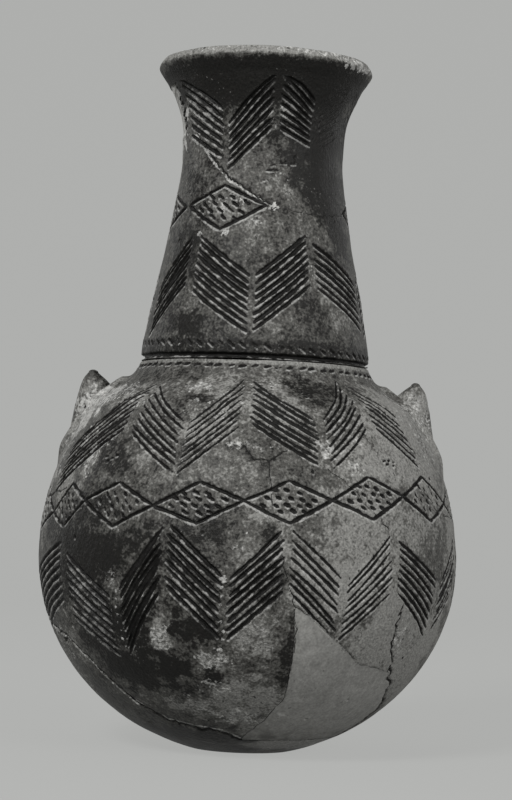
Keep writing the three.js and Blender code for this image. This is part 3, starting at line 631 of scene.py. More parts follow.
def dash_row(wall, height, lean, spacing, slant, long, width):
    """A row of short dashes round the foot of the neck. The row is lower on the right by lean."""
    rng = np.random.default_rng(int(height * 10))
    count = int(FULL / spacing)
    for k in range(count):
        a = -180 + FULL * k / count + rng.uniform(-0.7, 0.7)
        z = height - lean * math.sin(math.radians(a)) + rng.uniform(-0.25, 0.25)
        wall.groove([(a - long, z - slant), (a + long, z + slant)], width * rng.uniform(0.8, 1.1),
                    0.9 * rng.uniform(0.6, 1.1), 0.2)


def scatter_pits(wall, count, levels, radii, depths, seed):
    """Pits all round a band of the wall."""
    rng = np.random.default_rng(seed)
    for _ in range(count):
        angle, level, radius, depth = (rng.uniform(*ends) for ends in ((-180, 180), levels, radii, depths))
        wall.groove([(angle, level), (angle + 0.01, level)], radius * 2, depth, burr=0.1, taper=BLUNT_ENDS)


def part_of(line, low=-FULL, high=FULL):
    """The points of a line from one angle to another."""
    return [place for place in line if low <= place[0] <= high]


def smear(wall, line, width, amount, seed):
    """A ragged ribbon of lime or adhesive along a line."""
    where, far, _ = wall.near(line, width * 2)
    rag = waves(wall.places[where], 4, 14, seed)
    wall.raise_mark("lime", amount * (1 - smooth_step(far / width + 0.3 * rag, 0.3, 1.0)), where)


def crack(wall, line, width, depth, seed, lime=0.0, jag=0.45):
    """A mended break: a thin, jagged line."""
    rng = np.random.default_rng(seed)
    points = np.array(line, float)
    run = run_along(points * [MM_PER_DEGREE, 1])
    t = np.linspace(0, run[-1], max(int(run[-1] / CRACK_STEP), 3))
    jagged = np.c_[np.interp(t, run, points[:, 0]), np.interp(t, run, points[:, 1])]
    jagged[1:-1] += rng.normal(size=(len(t) - 2, 2)) * [jag / MM_PER_DEGREE, jag]
    where, far, _ = wall.near(jagged, width * 2 + 1)
    ragged = far * (1 + 0.35 * waves(wall.places[where], 3.0, 10, seed))
    depth_here = np.clip(1 - ragged / width, 0, 1)
    wall.height[where] -= depth * depth_here ** 0.7
    wall.raise_mark("crack", np.clip(1.3 - ragged / (width * 0.8), 0, 1), where)
    if lime:
        wall.raise_mark("lime", lime * np.clip(1 - ragged / (width + 1), 0, 1), where)


def flaked(wall, angle, level, wide, high, depth, seed):
    """A rough place where the surface has come away."""
    where, far = wall.oval(angle, level, wide, high, 1.4)
    rag = waves(wall.places[where], min(wide, high) * 0.45, 14, seed)
    fine = waves(wall.places[where], 1.6, 16, seed + 1)
    inside = 1 - smooth_step(far + 0.45 * rag, 0.75, 1.0)
    wall.height[where] -= inside * depth * (0.75 + 0.35 * fine)
    wall.raise_mark("crack", 0.35 * inside * (0.5 + 0.5 * (fine > 0.2)), where)


def sink_mend(wall, cells, amount):
    """Plaster lies a little below the fired surface, and is smooth."""
    edge = cells.astype(float)
    for _ in range(3):
        edge = (edge + np.roll(edge, 1, 1) + np.roll(edge, -1, 1)
                + np.vstack([edge[:1], edge[:-1]]) + np.vstack([edge[1:], edge[-1:]])) / 5
    wall.height -= amount * edge
    wall.raise_mark("plaster", smooth_step(edge, 0.35, 0.65))


# The walls, carved

def ellipse_run(radius, depth, centre, start, stop, count):
    """Points of an upright half ellipse between two angles, in degrees from level, as (radius, height)."""
    t = np.radians(np.linspace(start, stop, count))
    return np.c_[radius * np.cos(t), centre + depth * np.sin(t)]


def lower_angle(level):
    """Where the outside of the lower body reaches a height, in degrees from level, for ellipse_run."""
    sizes = bpy.context.scene.flask_sizes
    return -math.degrees(math.asin((sizes.belly_height - level) / sizes.lower_depth))


@functools.cache
def body_outline(start=-75.0):
    """Outside of the body up to the mouth: two quarter ellipses and the steeper slope under the neck."""
    sizes = bpy.context.scene.flask_sizes
    centre = sizes.belly_height
    spring = math.degrees(math.asin((SHOULDER_SLOPE[0][1] - centre) / sizes.upper_depth))
    lower = ellipse_run(sizes.belly_radius, sizes.lower_depth, centre, start, 0, 60)
    upper = ellipse_run(sizes.belly_radius, sizes.upper_depth, centre, 0, spring, 50)
    slope = spline(list(upper[[-9, -5]]) + SHOULDER_SLOPE, 12)
    return np.vstack([lower, upper[1:-9], slope])


def hollow_outline(start=-85.0):
    """Hollow of the body from its floor to the foot of the mouth."""
    sizes = bpy.context.scene.flask_sizes
    centre = sizes.belly_height
    radius = sizes.belly_radius - sizes.wall
    stop = math.degrees(math.acos(MOUTH_RADIUS / radius))
    return np.vstack([
        ellipse_run(radius, centre - BASE_WALL, centre, start, 0, 60),
        ellipse_run(radius, sizes.upper_depth - sizes.wall, centre, 0, stop, 60)[1:]])


def body_radius(level):
    """Outside radius of the body at a height."""
    outline = body_outline()
    return np.interp(level, outline[:, 1], outline[:, 0])


@functools.cache
def body_wall():
    """The body from its base ring to its mouth, with its bands, breaks and mends."""
    sizes = bpy.context.scene.flask_sizes
    start = lower_angle(BASE_RING)
    outline = np.vstack([body_outline(start), [(MOUTH_RADIUS, SHOULDER_TOP)]])
    flat = outline[-2, 0] - MOUTH_RADIUS
    wall = Wall(outline, hollow_outline(start), BODY_COLUMNS, sizes.grain, coarse_end=flat - 1)
    uneven(wall)
    for angle in (90, -90):
        lug_skirt(wall, angle)
    carve_shoulder(wall)
    carve_belly(wall)
    carve_body_breaks(wall)
    wall.stain_and_shade(BODY_STAINS_AND_SHADE)
    # Painted highlights on the side of each stroke that faces up
    wall.paint_stroke_highlights()
    return wall


def uneven(wall):
    """The strays of a wall built and scraped by hand: long ones, all inwards, and two finer ones."""
    most = bpy.context.scene.flask_sizes.unevenness
    wall.height += most * (0.75 * waves(wall.places, 30, 22, 11) - 1)
    wall.height += 0.10 * waves(wall.places, 7, 40, 12)
    wall.height += 0.035 * waves(wall.places, 2.6, 60, 13)


def lug_skirt(wall, angle):
    """The clay smoothed from the wall up to the foot of a lug."""
    where, far, along = wall.near([(angle, 136), (angle, 150), (angle, 165), (angle, 177)], 22)
    half = np.interp(along, [0, 0.3, 0.55, 0.85, 1], [1.5, 5.8, 7.6, 7.2, 4.5])
    gap = np.maximum(far - half, 0)
    wall.height[where] += 3.4 * np.exp(-((gap / 3.6) ** 1.4)) * smooth_step(along, -0.05, 0.25)


def carve_shoulder(wall):
    """Zigzag of the shoulder, the chain of lozenges below it, and the small groups of dashes."""
    dash_row(wall, 186.9, 0.7, 5.6, 0.3, 1.5, 1.9)
    wall.raise_mark("pale", smooth_step(wall.level, 187.6, 188.6)[:, None])
    bundle(wall, (-44, 177), 3.2, (-70, 146), 3.1, 8)
    bundle(wall, (-40, 176), 3.2, (-22, 159), 3.4, 8, width=1.4)
    bundle(wall, (-20, 158), 3.3, (-4.5, 179.6), 3.2, 8, lime=0.5, width=1.3)
    bundle(wall, (0, 179.6), 3.0, (19.5, 162.5), 3.1, 8)
    bundle(wall, (23.5, 162.7), 3.3, (39, 182), 3.3, 8, width=1.3)
    bundle(wall, (43.5, 180), 3.5, (58, 166), 3.9, 7)
    zigzag(wall, range(138, 223, 42), 21, 2, 180, 160, 3.2, 8)
    bundle(wall, (119, 160), 3.2, (100, 180), 3.2, 8)
    bundle(wall, (241, 160), 3.2, (260, 180), 3.2, 8)
    sizes = bpy.context.scene.flask_sizes
    lozenges = [((-67, 114), (-58.5, 128), (-50, 120.3), (-58.5, 107.5)),
                ((-50, 120.3), (-38, 129.5), (-26.2, 119.2), (-38, 108.8)),
                ((-26.2, 119.2), (-13.5, 131), (-1.5, 123), (-13.5, 111.8)),
                ((-1.5, 123), (10.5, 133), (22.4, 124.6), (10.5, 113.5)),
                ((22.4, 124.6), (34.5, 136), (46.5, 127.6), (34.5, 116.5)),
                ((46.5, 127.6), (58.5, 137.5), (71, 125), (58.5, 116.5))]
    first, last, count, fall = 71, 293, 9, 1.2
    step = (last - first) / count
    lozenges += [((first + step * k, 125 - fall * k), (first + step * (k + 0.5), 136 - fall * k),
                  (first + step * (k + 1), 125 - fall * (k + 1)), (first + step * (k + 0.5), 115 - fall * k))
                 for k in range(count)]
    usual, upright, long_dashes = (2.1, 1.9, 0.9), (1.5, 1.4, 1.5), (2.8, 1.5, 1.5)
    dashes = {0: upright, 1: upright, 2: long_dashes, 5: upright}
    for k, corners in enumerate(lozenges):
        lozenge(wall, *corners, 40 + k, *dashes.get(k, usual))
    for a, z in ((-46, 141.5), (-43.5, 140.6), (-45, 139), (-42, 142), (19, 175.3), (21, 174.6),
                 (20, 172.8), (42, 144), (44, 144.2), (46, 143.6), (43, 142.4), (45.5, 142)):
        wall.groove([(a - 0.5, z - 0.2), (a + 0.5, z + 0.2)], 1.15, sizes.stroke_depth, 0.2)


def carve_belly(wall):
    """The large zigzag round the belly."""
    bundle(wall, (-87, 80), 3.9, (-59, 100), 3.9, 8)
    bundle(wall, (-55, 95), 4.2, (-39, 76), 3.9, 8)
    bundle(wall, (-34.8, 80), 3.75, (-23, 109), 3.7, 9)
    bundle(wall, (-20.5, 110), 3.9, (-6.8, 88.6), 4.0, 8)
    bundle(wall, (-4.4, 87.6), 4.0, (8.7, 109.5), 3.9, 8)
    bundle(wall, (11.2, 109.6), 4.0, (24.4, 89.4), 4.1, 8, width=1.5)
    bundle(wall, (27, 86), 3.6, (40, 109), 3.9, 8, width=1.4)
    bundle(wall, (43.5, 106.4), 3.4, (60.7, 88.7), 3.9, 8, width=1.8)
    bundle(wall, (64.5, 88), 3.8, (76, 107), 3.8, 7)
    first, last, gap = 78, 271, 2
    step = (last - first) / 5.5
    bundle(wall, (first + gap, 107), 3.9, (first + step / 2 - gap, 86), 3.9, 8)
    zigzag(wall, [first + step * k for k in range(1, 6)], step / 2, gap, 107, 86, 3.9, 8)
    rng = np.random.default_rng(5)
    for k in range(8):
        for angle, level, size in ((-36.2, 79 - 3.7 * k, 0.9), (-6.1, 87 - 4.0 * k, 1.9 if k == 0 else 1.0)):
            wall.patch("lime", angle + rng.uniform(-0.4, 0.4), level, size, size,
                       1.0 if k == 0 else 0.7, seed=k, rough=0.3)


def carve_body_breaks(wall):
    """Cracks along the mended breaks, the plaster of the fill, and places where the surface is gone."""
    angle, level = wall.angle[None, :], wall.level[:, None]
    sink_mend(wall, body_sherds(angle, level) == "plaster_fill", 0.25)
    # Each break's line, its width and depth in mm, its lime, and how jagged it is
    first_seed = 21
    cracks = [(part_of(SHOULDER_BREAK, -9, 13), 0.5, 0.7, 0.2, 0.45),
              ([(22, 139), (25.2, 135.9), (31, 126), (36.9, 116.8), (39.8, 111.4)], 0.35, 0.5, 0, 0.45),
              (FRONT_BREAK[:3], 0.35, 0.45, 0, 0.45),
              (FRONT_BREAK[3:6], 0.4, 0.6, 0, 0.45),
              (FRONT_BREAK[5:], 0.35, 0.5, 0, 0.45),
              (RIGHT_BREAK[4:], 0.85, 1.0, 0, 0.8),
              (FILL_TOP, 0.25, 0.15, 0, 0.45),
              (LOWER_LEFT_BREAK[1:], 0.85, 0.8, 0, 0.45),
              (BACK_LEFT_BREAK, 0.45, 0.7, 0, 0.45),
              (BACK_RIGHT_BREAK, 0.5, 0.7, 0.3, 0.45),
              (LOWER_BACK_BREAK, 0.5, 0.7, 0, 0.45),
              (BACK_BREAK, 0.4, 0.6, 0, 0.45),
              (part_of(SHOULDER_BREAK, low=68), 0.45, 0.7, 0, 0.45),
              (part_of(SHOULDER_BREAK, high=-62), 0.45, 0.7, 0, 0.45)]
    for seed, (line, width, depth, lime, jag) in enumerate(cracks, first_seed):
        crack(wall, line, width, depth, seed, lime, jag)
    smear(wall, [(a, z - 1.4) for a, z in LOWER_LEFT_BREAK[1:5]], 1.3, 0.6, 28)
    smear(wall, [(a, z + 1.2) for a, z in LOWER_LEFT_BREAK[4:]], 1.2, 0.75, 29)
    for place in BODY_CHIPS:
        flaked(wall, *place)
    scatter_pits(wall, 90, (14, 185), (0.5, 1.3), (0.2, 0.8), 7)


@functools.cache
def neck_wall():
    """The neck from its tongue to the joint under the rim, with its bands and its long break."""
    foot = SHOULDER_TOP + NECK_GAP
    curve = spline([(NECK_FOOT_RADIUS, foot)] + NECK_OUTLINE + RIM_OUTLINE[:1], CURVE_STEPS)[:-CURVE_STEPS]
    outline = np.vstack([[(TONGUE_RADIUS, TONGUE_FOOT), (TONGUE_RADIUS, foot)], curve])
    inner = curve[(curve[:, 1] > TONGUE_TOP) & (curve[:, 1] < RIM_FOOT)] - [NECK_WALL, 0]
    inside = np.vstack([[(TONGUE_INNER, TONGUE_FOOT), (TONGUE_INNER, TONGUE_TOP)], inner,
                        [(curve[-1, 0] - NECK_WALL, RIM_FOOT + RIM_JOINT_RISE)]])
    hidden = foot - TONGUE_FOOT + curve[0, 0] - TONGUE_RADIUS
    wall = Wall(outline, inside, NECK_COLUMNS, NECK_GRAIN, coarse_start=hidden)
    uneven(wall)
    wall.height *= smooth_step(wall.run, hidden - 8, hidden - 2)[:, None]
    carve_neck(wall)
    wall.stain_and_shade(NECK_STAINS_AND_SHADE)
    # Painted shadow of the rim across the top of the neck
    wall.patch("dark", 0, 332, 84, 14, 1.6, rough=0.15)
    band = smooth_step(wall.level, 191, 193) * (1 - smooth_step(wall.level, 198, 201))
    wall.raise_mark("dark", 0.55 * band[:, None])
    # Painted highlights on the side of each stroke that faces up
    wall.paint_stroke_highlights()
    return wall


def carve_neck(wall):
    """The two zigzags of the neck, the lozenges between them, the ring at its foot and its long break."""
    bundle(wall, (-61, 330), 4.7, (-30, 313), 3.8, 7)
    bundle(wall, (-24, 306), 3.7, (5.5, 330), 4.3, 7)
    bundle(wall, (11.5, 331), 3.9, (34, 318), 3.0, 8)
    bundle(wall, (40, 317), 3.2, (64, 331), 3.9, 8, lime=0, width=0.9, depth=0.3)
    bundle(wall, (72, 331), 3.9, (103, 316), 3.5, 8, lime=0, width=0.9, depth=0.3)
    zigzag(wall, (144, 220), 37.5, 4, 330, 314, 3.8, 8)
    bundle(wall, (-98, 314), 3.8, (-69, 330), 3.8, 7)
    bundle(wall, (-44.5, 249.5), 3.3, (-70, 227), 3.5, 8)
    bundle(wall, (-37, 250), 3.3, (-5.3, 231), 3.4, 9)
    bundle(wall, (-0.8, 231), 3.8, (29, 252), 3.5, 8)
    bundle(wall, (34.5, 248), 3.6, (70, 231), 3.7, 7)
    bundle(wall, (75, 231), 3.6, (101, 250), 3.6, 8)
    bundle(wall, (108, 250), 3.6, (137, 231), 3.6, 8)
    zigzag(wall, (176, 247), 35.5, 3, 250, 231, 3.6, 8)
    for k, centre in enumerate((-25, -85, -145, 155, 98)):
        reach = 28.5
        lozenge(wall, (centre - reach, 266.2), (centre, 275.3), (centre + reach, 265.8),
                (centre, 253.4 if k == 0 else 255), 80 + k, long=3.0, width=1.5, drop=2.0)
    sizes = bpy.context.scene.flask_sizes
    for a, z, long in ((7, 283, 5.2), (7.7, 285.6, 1.8), (14.5, 287, 2.6), (22, 287, 2.0)):
        wall.groove([(a - long, z), (a + long, z + 0.3)],
                    sizes.stroke_width * 0.55, sizes.stroke_depth * 0.6, 0.3)
    dash_row(wall, 196.8, 2.2, 5.8, -1.1, 1.6, 1.5)
    ring = [(a, 191.6 - 0.3 * math.sin(math.radians(a))) for a in range(-198, 199, 6)]
    wall.groove(ring, 2.6, 1.5, 0.1, burr=0.1, taper=BLUNT_ENDS)
    # This break's dark line runs 1.3 mm above its lime: a carved groove painted dark as the shadow line
    # beside the mend
    crack(wall, [(a, z + 1.3) for a, z in part_of(NECK_BREAK, -80, 10)], 0.6, 0.8, 41)
    smear(wall, part_of(NECK_BREAK, -90, 10), 1.0, 0.7, 41)
    smear(wall, part_of(NECK_BREAK, -33, 10), 1.5, 0.75, 44)
    crack(wall, part_of(NECK_BREAK, low=7), 0.3, 0.4, 42)
    crack(wall, part_of(NECK_BREAK, high=-84), 0.5, 0.6, 43)
    names = neck_sherds(wall.angle[None, :], wall.level[:, None])
    sink_mend(wall, names == "neck_fill", 0.5)
    scatter_pits(wall, 40, (200, 326), (0.4, 1.0), (0.2, 0.6), 9)


@functools.cache
def pad_wall():
    """The thick pad under the body, worn flat where it rests."""
    sizes = bpy.context.scene.flask_sizes
    centre = sizes.belly_height
    rest, ring = lower_angle(0), lower_angle(BASE_RING)
    outline = np.vstack([
        [(PAD_HOLE, 0)],
        ellipse_run(sizes.belly_radius, sizes.lower_depth, centre, rest, ring, 16)])
    inside = np.vstack([
        [(PAD_HOLE, BASE_WALL)],
        ellipse_run(sizes.belly_radius - sizes.wall, centre - BASE_WALL, centre, -80, ring, 16)])
    wall = Wall(outline, inside, PAD_COLUMNS, PAD_GRAIN)
    uneven(wall)
    wall.height *= smooth_step(wall.radius, 24, 44)[:, None]
    wall.patch("plaster", 38, 6, 27, 10, 1.3, rough=0.15)
    # Painted shade on the left of the bottom, where the flask stands
    wall.patch("dark", -50, 4, 60, 14, 1.5)
    return wall


@functools.cache
def rim_wall():
    """The last coil: from the joint under it out over the lip and down inside."""
    top = NECK_OUTLINE[-1]
    inner = top[0] - NECK_WALL, RIM_FOOT + RIM_JOINT_RISE
    outline = spline([NECK_OUTLINE[-2], top] + RIM_OUTLINE + [inner], RIM_CURVE_STEPS)[RIM_CURVE_STEPS:]
    wall = Wall(outline, np.array([top, inner]), NECK_COLUMNS, RIM_GRAIN)
    uneven(wall)
    for place in RIM_CHIPS:
        flaked(wall, *place)
    wall.stain_and_shade(RIM_STAINS)
    wall.height *= (1 - smooth_step(wall.run, wall.run[-1] - 8, wall.run[-1] - 1))[:, None]
    # Painted shade on the underside of the lip
    wall.patch("dark", 0, 331, 96, 7, 1.6, rough=0.15)
    lip = smooth_step(wall.run, wall.run_at(337.2), wall.run_at(339.2))
    lip = (lip * (1 - smooth_step(wall.run, wall.run[-1] - 9, wall.run[-1] - 4)))[:, None]
    wall.raise_mark("pale", 1.1 * lip)
    wall.raise_mark("lime", 0.34 * lip)
    wall.marks["dark"] *= 1 - lip
    return wall


# Meshes from walls

def hollow_faces(cells):
    """Faces of the hollow side: the (row, column) corners of whole blocks, and the cells left near breaks."""
    rows, columns = cells.shape
    padded = np.zeros((-(-rows // BLOCK) * BLOCK, columns), bool)
    padded[:rows] = cells
    blocks = padded.reshape(-1, BLOCK, columns // BLOCK, BLOCK).all(axis=(1, 3))
    shut = np.pad(blocks, ((1, 1), (0, 0)))
    faces = []
    for r, c in np.argwhere(blocks):
        sides = shut[r, c], blocks[r, (c + 1) % blocks.shape[1]], shut[r + 2, c], blocks[r, c - 1]
        low, left = r * BLOCK, c * BLOCK
        corners = []
        for side, whole in enumerate(sides):
            for k in range(0, BLOCK, BLOCK if whole else 1):
                corners.append([(low, left + k), (low + k, left + BLOCK),
                                (low + BLOCK, left + BLOCK - k), (low + BLOCK - k, left)][side])
        faces.append(np.array(corners))
    near_breaks = cells & ~np.kron(blocks, np.ones((BLOCK, BLOCK), bool))[:rows]
    return faces, near_breaks


class Faces:
    """Collects faces, their corners' places on the bake sheet, and their sizes."""

    def __init__(self):
        self.corners = []
        self.places = []
        self.sizes = []

    def add(self, corners, u, v):
        if len(corners):
            self.corners.append(corners.reshape(-1))
            self.places.append(np.stack([u, v], -1).reshape(-1, 2))
            self.sizes.append(np.full(len(corners), corners.shape[-1]))


def cell_corners(cells):
    """The four corners of each chosen cell, as rows and columns, so that the face looks outwards."""
    rows, columns = np.nonzero(cells)
    return (np.stack([rows, rows, rows + 1, rows + 1], -1),
            np.stack([columns, columns + 1, columns + 1, columns], -1))


def first_column(used):
    """The column where a piece starts: the one after its widest gap."""
    if used.all():
        return 0
    starts = np.flatnonzero(used & ~np.roll(used, 1))
    gaps = [np.flatnonzero(np.roll(used, -s)[::-1])[0] for s in starts]
    return int(starts[int(np.argmax(gaps))])


def sherd_faces(wall, cells, welded, capped):
    """All the faces of one piece of a wall: outside, hollow side, and the edges along its breaks."""
    last = wall.columns
    used = cells.any(0)
    shift = first_column(used)
    across = (np.flatnonzero(used) - shift) % last
    wide = across.max() + 1
    low, high = np.flatnonzero(cells.any(1))[[0, -1]]
    tall = high + 1 - low
    faces = Faces()

    def number(rows, columns, hollow):
        outer = rows * last + columns % last
        if not hollow:
            return outer
        inner = outer + wall.rows * last
        if welded:
            ends = (rows == 0) | (rows == wall.rows - 1)
            inner = np.where(ends, outer, inner)
        return inner

    def add(rows, columns, hollow):
        first = columns.min(axis=-1, keepdims=True)
        u = ((first - shift) % last + columns - first) / wide
        band, band_height = SHEET_HOLLOW if hollow else SHEET_OUTSIDE
        v = band + band_height * (rows - low) / tall
        order = slice(None, None, -1) if hollow else slice(None)
        corners = number(rows, columns, hollow)
        u = SHEET_MARGIN + (1 - 2 * SHEET_MARGIN) * u
        faces.add(corners[..., order], u[..., order], v[..., order])

    add(*cell_corners(cells), False)
    whole, near_breaks = hollow_faces(cells)
    add(*cell_corners(near_breaks), True)
    for size in sorted({len(f) for f in whole}):
        alike = np.array([f for f in whole if len(f) == size])
        add(alike[..., 0], alike[..., 1], True)
    edges = []
    rows, columns = np.nonzero(cells)
    below = np.pad(cells, ((1, 1), (0, 0)))
    shut = [0, wall.rows - 1] if welded else [0] if capped else []
    for beside, start, end in ((below[:-2], (0, 0), (0, 1)), (np.roll(cells, -1, 1), (0, 1), (1, 1)),
                               (below[2:], (1, 1), (1, 0)), (np.roll(cells, 1, 1), (1, 0), (0, 0))):
        open_edge = ~beside[rows, columns]
        if start[0] == end[0]:
            open_edge &= ~np.isin(rows + start[0], shut)
        r, c = rows[open_edge], columns[open_edge]
        edges.append(np.stack([number(r + corner[0], c + corner[1], hollow) for corner, hollow in
                               ((end, False), (start, False), (start, True), (end, True))], -1))
    edges = np.concatenate(edges)
    if len(edges):
        band, band_height = SHEET_EDGES
        u = (np.arange(len(edges))[:, None] + np.array([[0, 1, 1, 0]])) / len(edges)
        faces.add(edges, u, band + band_height * np.array([[0, 0, 1, 1]]) + 0 * u)
    if capped:
        ring = np.arange(last)
        turn = 2 * math.pi * ring / last
        for hollow, middle in ((False, 0.01), (True, 0.03)):
            corners = number(np.zeros(last, int), ring, hollow)[:: 1 if hollow else -1]
            faces.add(corners[None], (middle + 0.004 * np.cos(turn))[None],
                      (0.004 + 0.003 * np.sin(turn))[None])
    return faces


def wall_points(wall):
    """Outside and hollow points of a wall in mm, with the normals of each."""
    spoke = wall.spoke[None]
    height = wall.height - wall.cuts
    reach = wall.radius[:, None] + wall.out[:, :1] * height
    outer = np.dstack([reach[..., None] * spoke, wall.level[:, None] + wall.out[:, 1:] * height])
    round_way = np.roll(outer, -1, 1) - np.roll(outer, 1, 1)
    up_way = np.gradient(outer, axis=0)
    normals = np.cross(round_way, up_way)
    normals /= np.linalg.norm(normals, axis=2, keepdims=True) + 1e-12
    inner = turned(wall.inner_radius, wall.inner_level, wall.spoke)
    hollow_way = np.cross(np.roll(inner, 1, 1) - np.roll(inner, -1, 1), np.gradient(inner, axis=0))
    hollow_way /= np.linalg.norm(hollow_way, axis=2, keepdims=True) + 1e-12
    return outer, inner, normals, hollow_way


@functools.cache
def wall_arrays(maker):
    """What the pieces of one wall share: points in metres, normals and masks, outside before hollow."""
    wall = maker()
    outer, inner, normals, hollow_way = wall_points(wall)
    count = wall.rows * wall.columns
    marks = {name: np.r_[mark.reshape(-1), np.zeros(count)] for name, mark in wall.marks.items()}
    marks["hollow"] = np.r_[np.zeros(count), np.ones(count)]
    points = np.vstack([outer.reshape(-1, 3), inner.reshape(-1, 3)]) * MM
    return points, np.vstack([normals.reshape(-1, 3), hollow_way.reshape(-1, 3)]), marks


def set_marks(mesh, marks):
    """Stores the painted masks on a mesh's points, four to a colour attribute."""
    for name, channels in MASKS.items():
        values = np.zeros((len(mesh.vertices), 4), np.float32)
        for k, channel in enumerate(channels):
            values[:, k] = marks[channel]
        attribute = mesh.attributes.new(name, "FLOAT_COLOR", "POINT")
        attribute.data.foreach_set("color", values.reshape(-1))


def slot_of(node):
    """The record's material slot of a node."""
    return next(s["material_slot"] for s in frame["record"]["subparts"] if s["node"] == node)


def sherd(node, maker, cells, welded=False, capped=False):
    """Builds one piece of a wall as a closed mesh under the name finished_ and its node."""
    wall = maker()
    points, normals, marks = wall_arrays(maker)
    faces = sherd_faces(wall, cells, welded, capped)
    corners = np.concatenate(faces.corners)
    kept, corners = np.unique(corners, return_inverse=True)
    sizes = np.concatenate(faces.sizes)
    mesh = bpy.data.meshes.new("finished_" + node)
    mesh.vertices.add(len(kept))
    mesh.vertices.foreach_set("co", points[kept].astype(np.float32).reshape(-1))
    mesh.loops.add(len(corners))
    mesh.loops.foreach_set("vertex_index", corners.astype(np.int32))
    mesh.polygons.add(len(sizes))
    mesh.polygons.foreach_set("loop_start", np.r_[0, np.cumsum(sizes)[:-1]].astype(np.int32))
    mesh.update(calc_edges=True)
    sheet = mesh.uv_layers.new(name="OFBake")
    sheet.uv.foreach_set("vector", np.concatenate(faces.places).astype(np.float32).reshape(-1))
    set_marks(mesh, {name: mark[kept] for name, mark in marks.items()})
    mesh.normals_split_custom_set_from_vertices(normals[kept].astype(np.float32))
    return dress(node, mesh)


def dress(node, mesh):
    """Puts a finished mesh in the scene: it stands for its node, rides on the body and takes its finish."""
    slot = slot_of(node)
    piece = bpy.data.objects.new("finished_" + node, mesh)
    bpy.context.collection.objects.link(piece)
    mesh.materials.append(finish(slot))
    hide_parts(node)
    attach(piece, ROOT)
    return piece


# Lugs and the pads of clay over their pegs

def free_mesh(name, points):
    """A closed mesh from rings of points, each end shut by one face."""
    rows, columns = points.shape[:2]
    rings = np.arange(rows * columns).reshape(rows, columns)
    faces = []
    for low, high in zip(rings[:-1], rings[1:]):
        faces += [(a, b, c, d) for a, b, c, d in zip(low, np.roll(low, -1), np.roll(high, -1), high)]
    faces += [tuple(rings[0][::-1]), tuple(rings[-1])]
    mesh = bpy.data.meshes.new(name)
    mesh.from_pydata((points.reshape(-1, 3) * MM).tolist(), [], [tuple(map(int, f)) for f in faces])
    shape = bmesh.new()
    shape.from_mesh(mesh)
    bmesh.ops.recalc_face_normals(shape, faces=shape.faces)
    shape.to_mesh(mesh)
    shape.free()
    return mesh


def turned_mesh(name, outline):
    """The closed solid inside a turned outline."""
    spoke = spokes(np.arange(TURNED_COLUMNS) * FULL / TURNED_COLUMNS)
    return free_mesh(name, turned(outline[:, 0], outline[:, 1], spoke))


def cut_mesh(first, steps):
    """The mesh left after joining it to or cutting it by others, one after another."""
    made = bpy.data.objects.new("blank", first)
    bpy.context.collection.objects.link(made)
    tools = []
    for operation, mesh in steps:
        tool = bpy.data.objects.new("tool", mesh)
        bpy.context.collection.objects.link(tool)
        tools.append(tool)
        modifier = made.modifiers.new(operation, "BOOLEAN")
        modifier.operation = operation
        modifier.solver = "EXACT"
        modifier.object = tool
    bpy.context.view_layer.update()
    result = bpy.data.meshes.new_from_object(made.evaluated_get(bpy.context.evaluated_depsgraph_get()))
    for gone in [made] + tools:
        bpy.data.objects.remove(gone)
    if not len(result.polygons):
        raise RuntimeError("a lug or a pad of clay came out empty")
    return result


def along_peg(points):
    """Points made along +Z, laid along the peg of the right lug from where it meets the wall."""
    turn = math.radians(PEG_TILT)
    x = points[..., 0] * -math.sin(turn) + points[..., 2] * math.cos(turn)
    z = points[..., 0] * math.cos(turn) + points[..., 2] * math.sin(turn)
    return np.stack([x + float(body_radius(PEG_HEIGHT)), -points[..., 1], z + PEG_HEIGHT], -1)


def disc_rings(profile, columns):
    """Rings about the peg's axis from (radius, distance) points."""
    turn = np.radians(np.arange(columns) * FULL / columns)
    profile = np.array(profile, float)
    x = profile[:, :1] * np.cos(turn)
    y = profile[:, :1] * np.sin(turn)
    return along_peg(np.stack([x, y, np.repeat(profile[:, 1:], columns, 1)], -1))


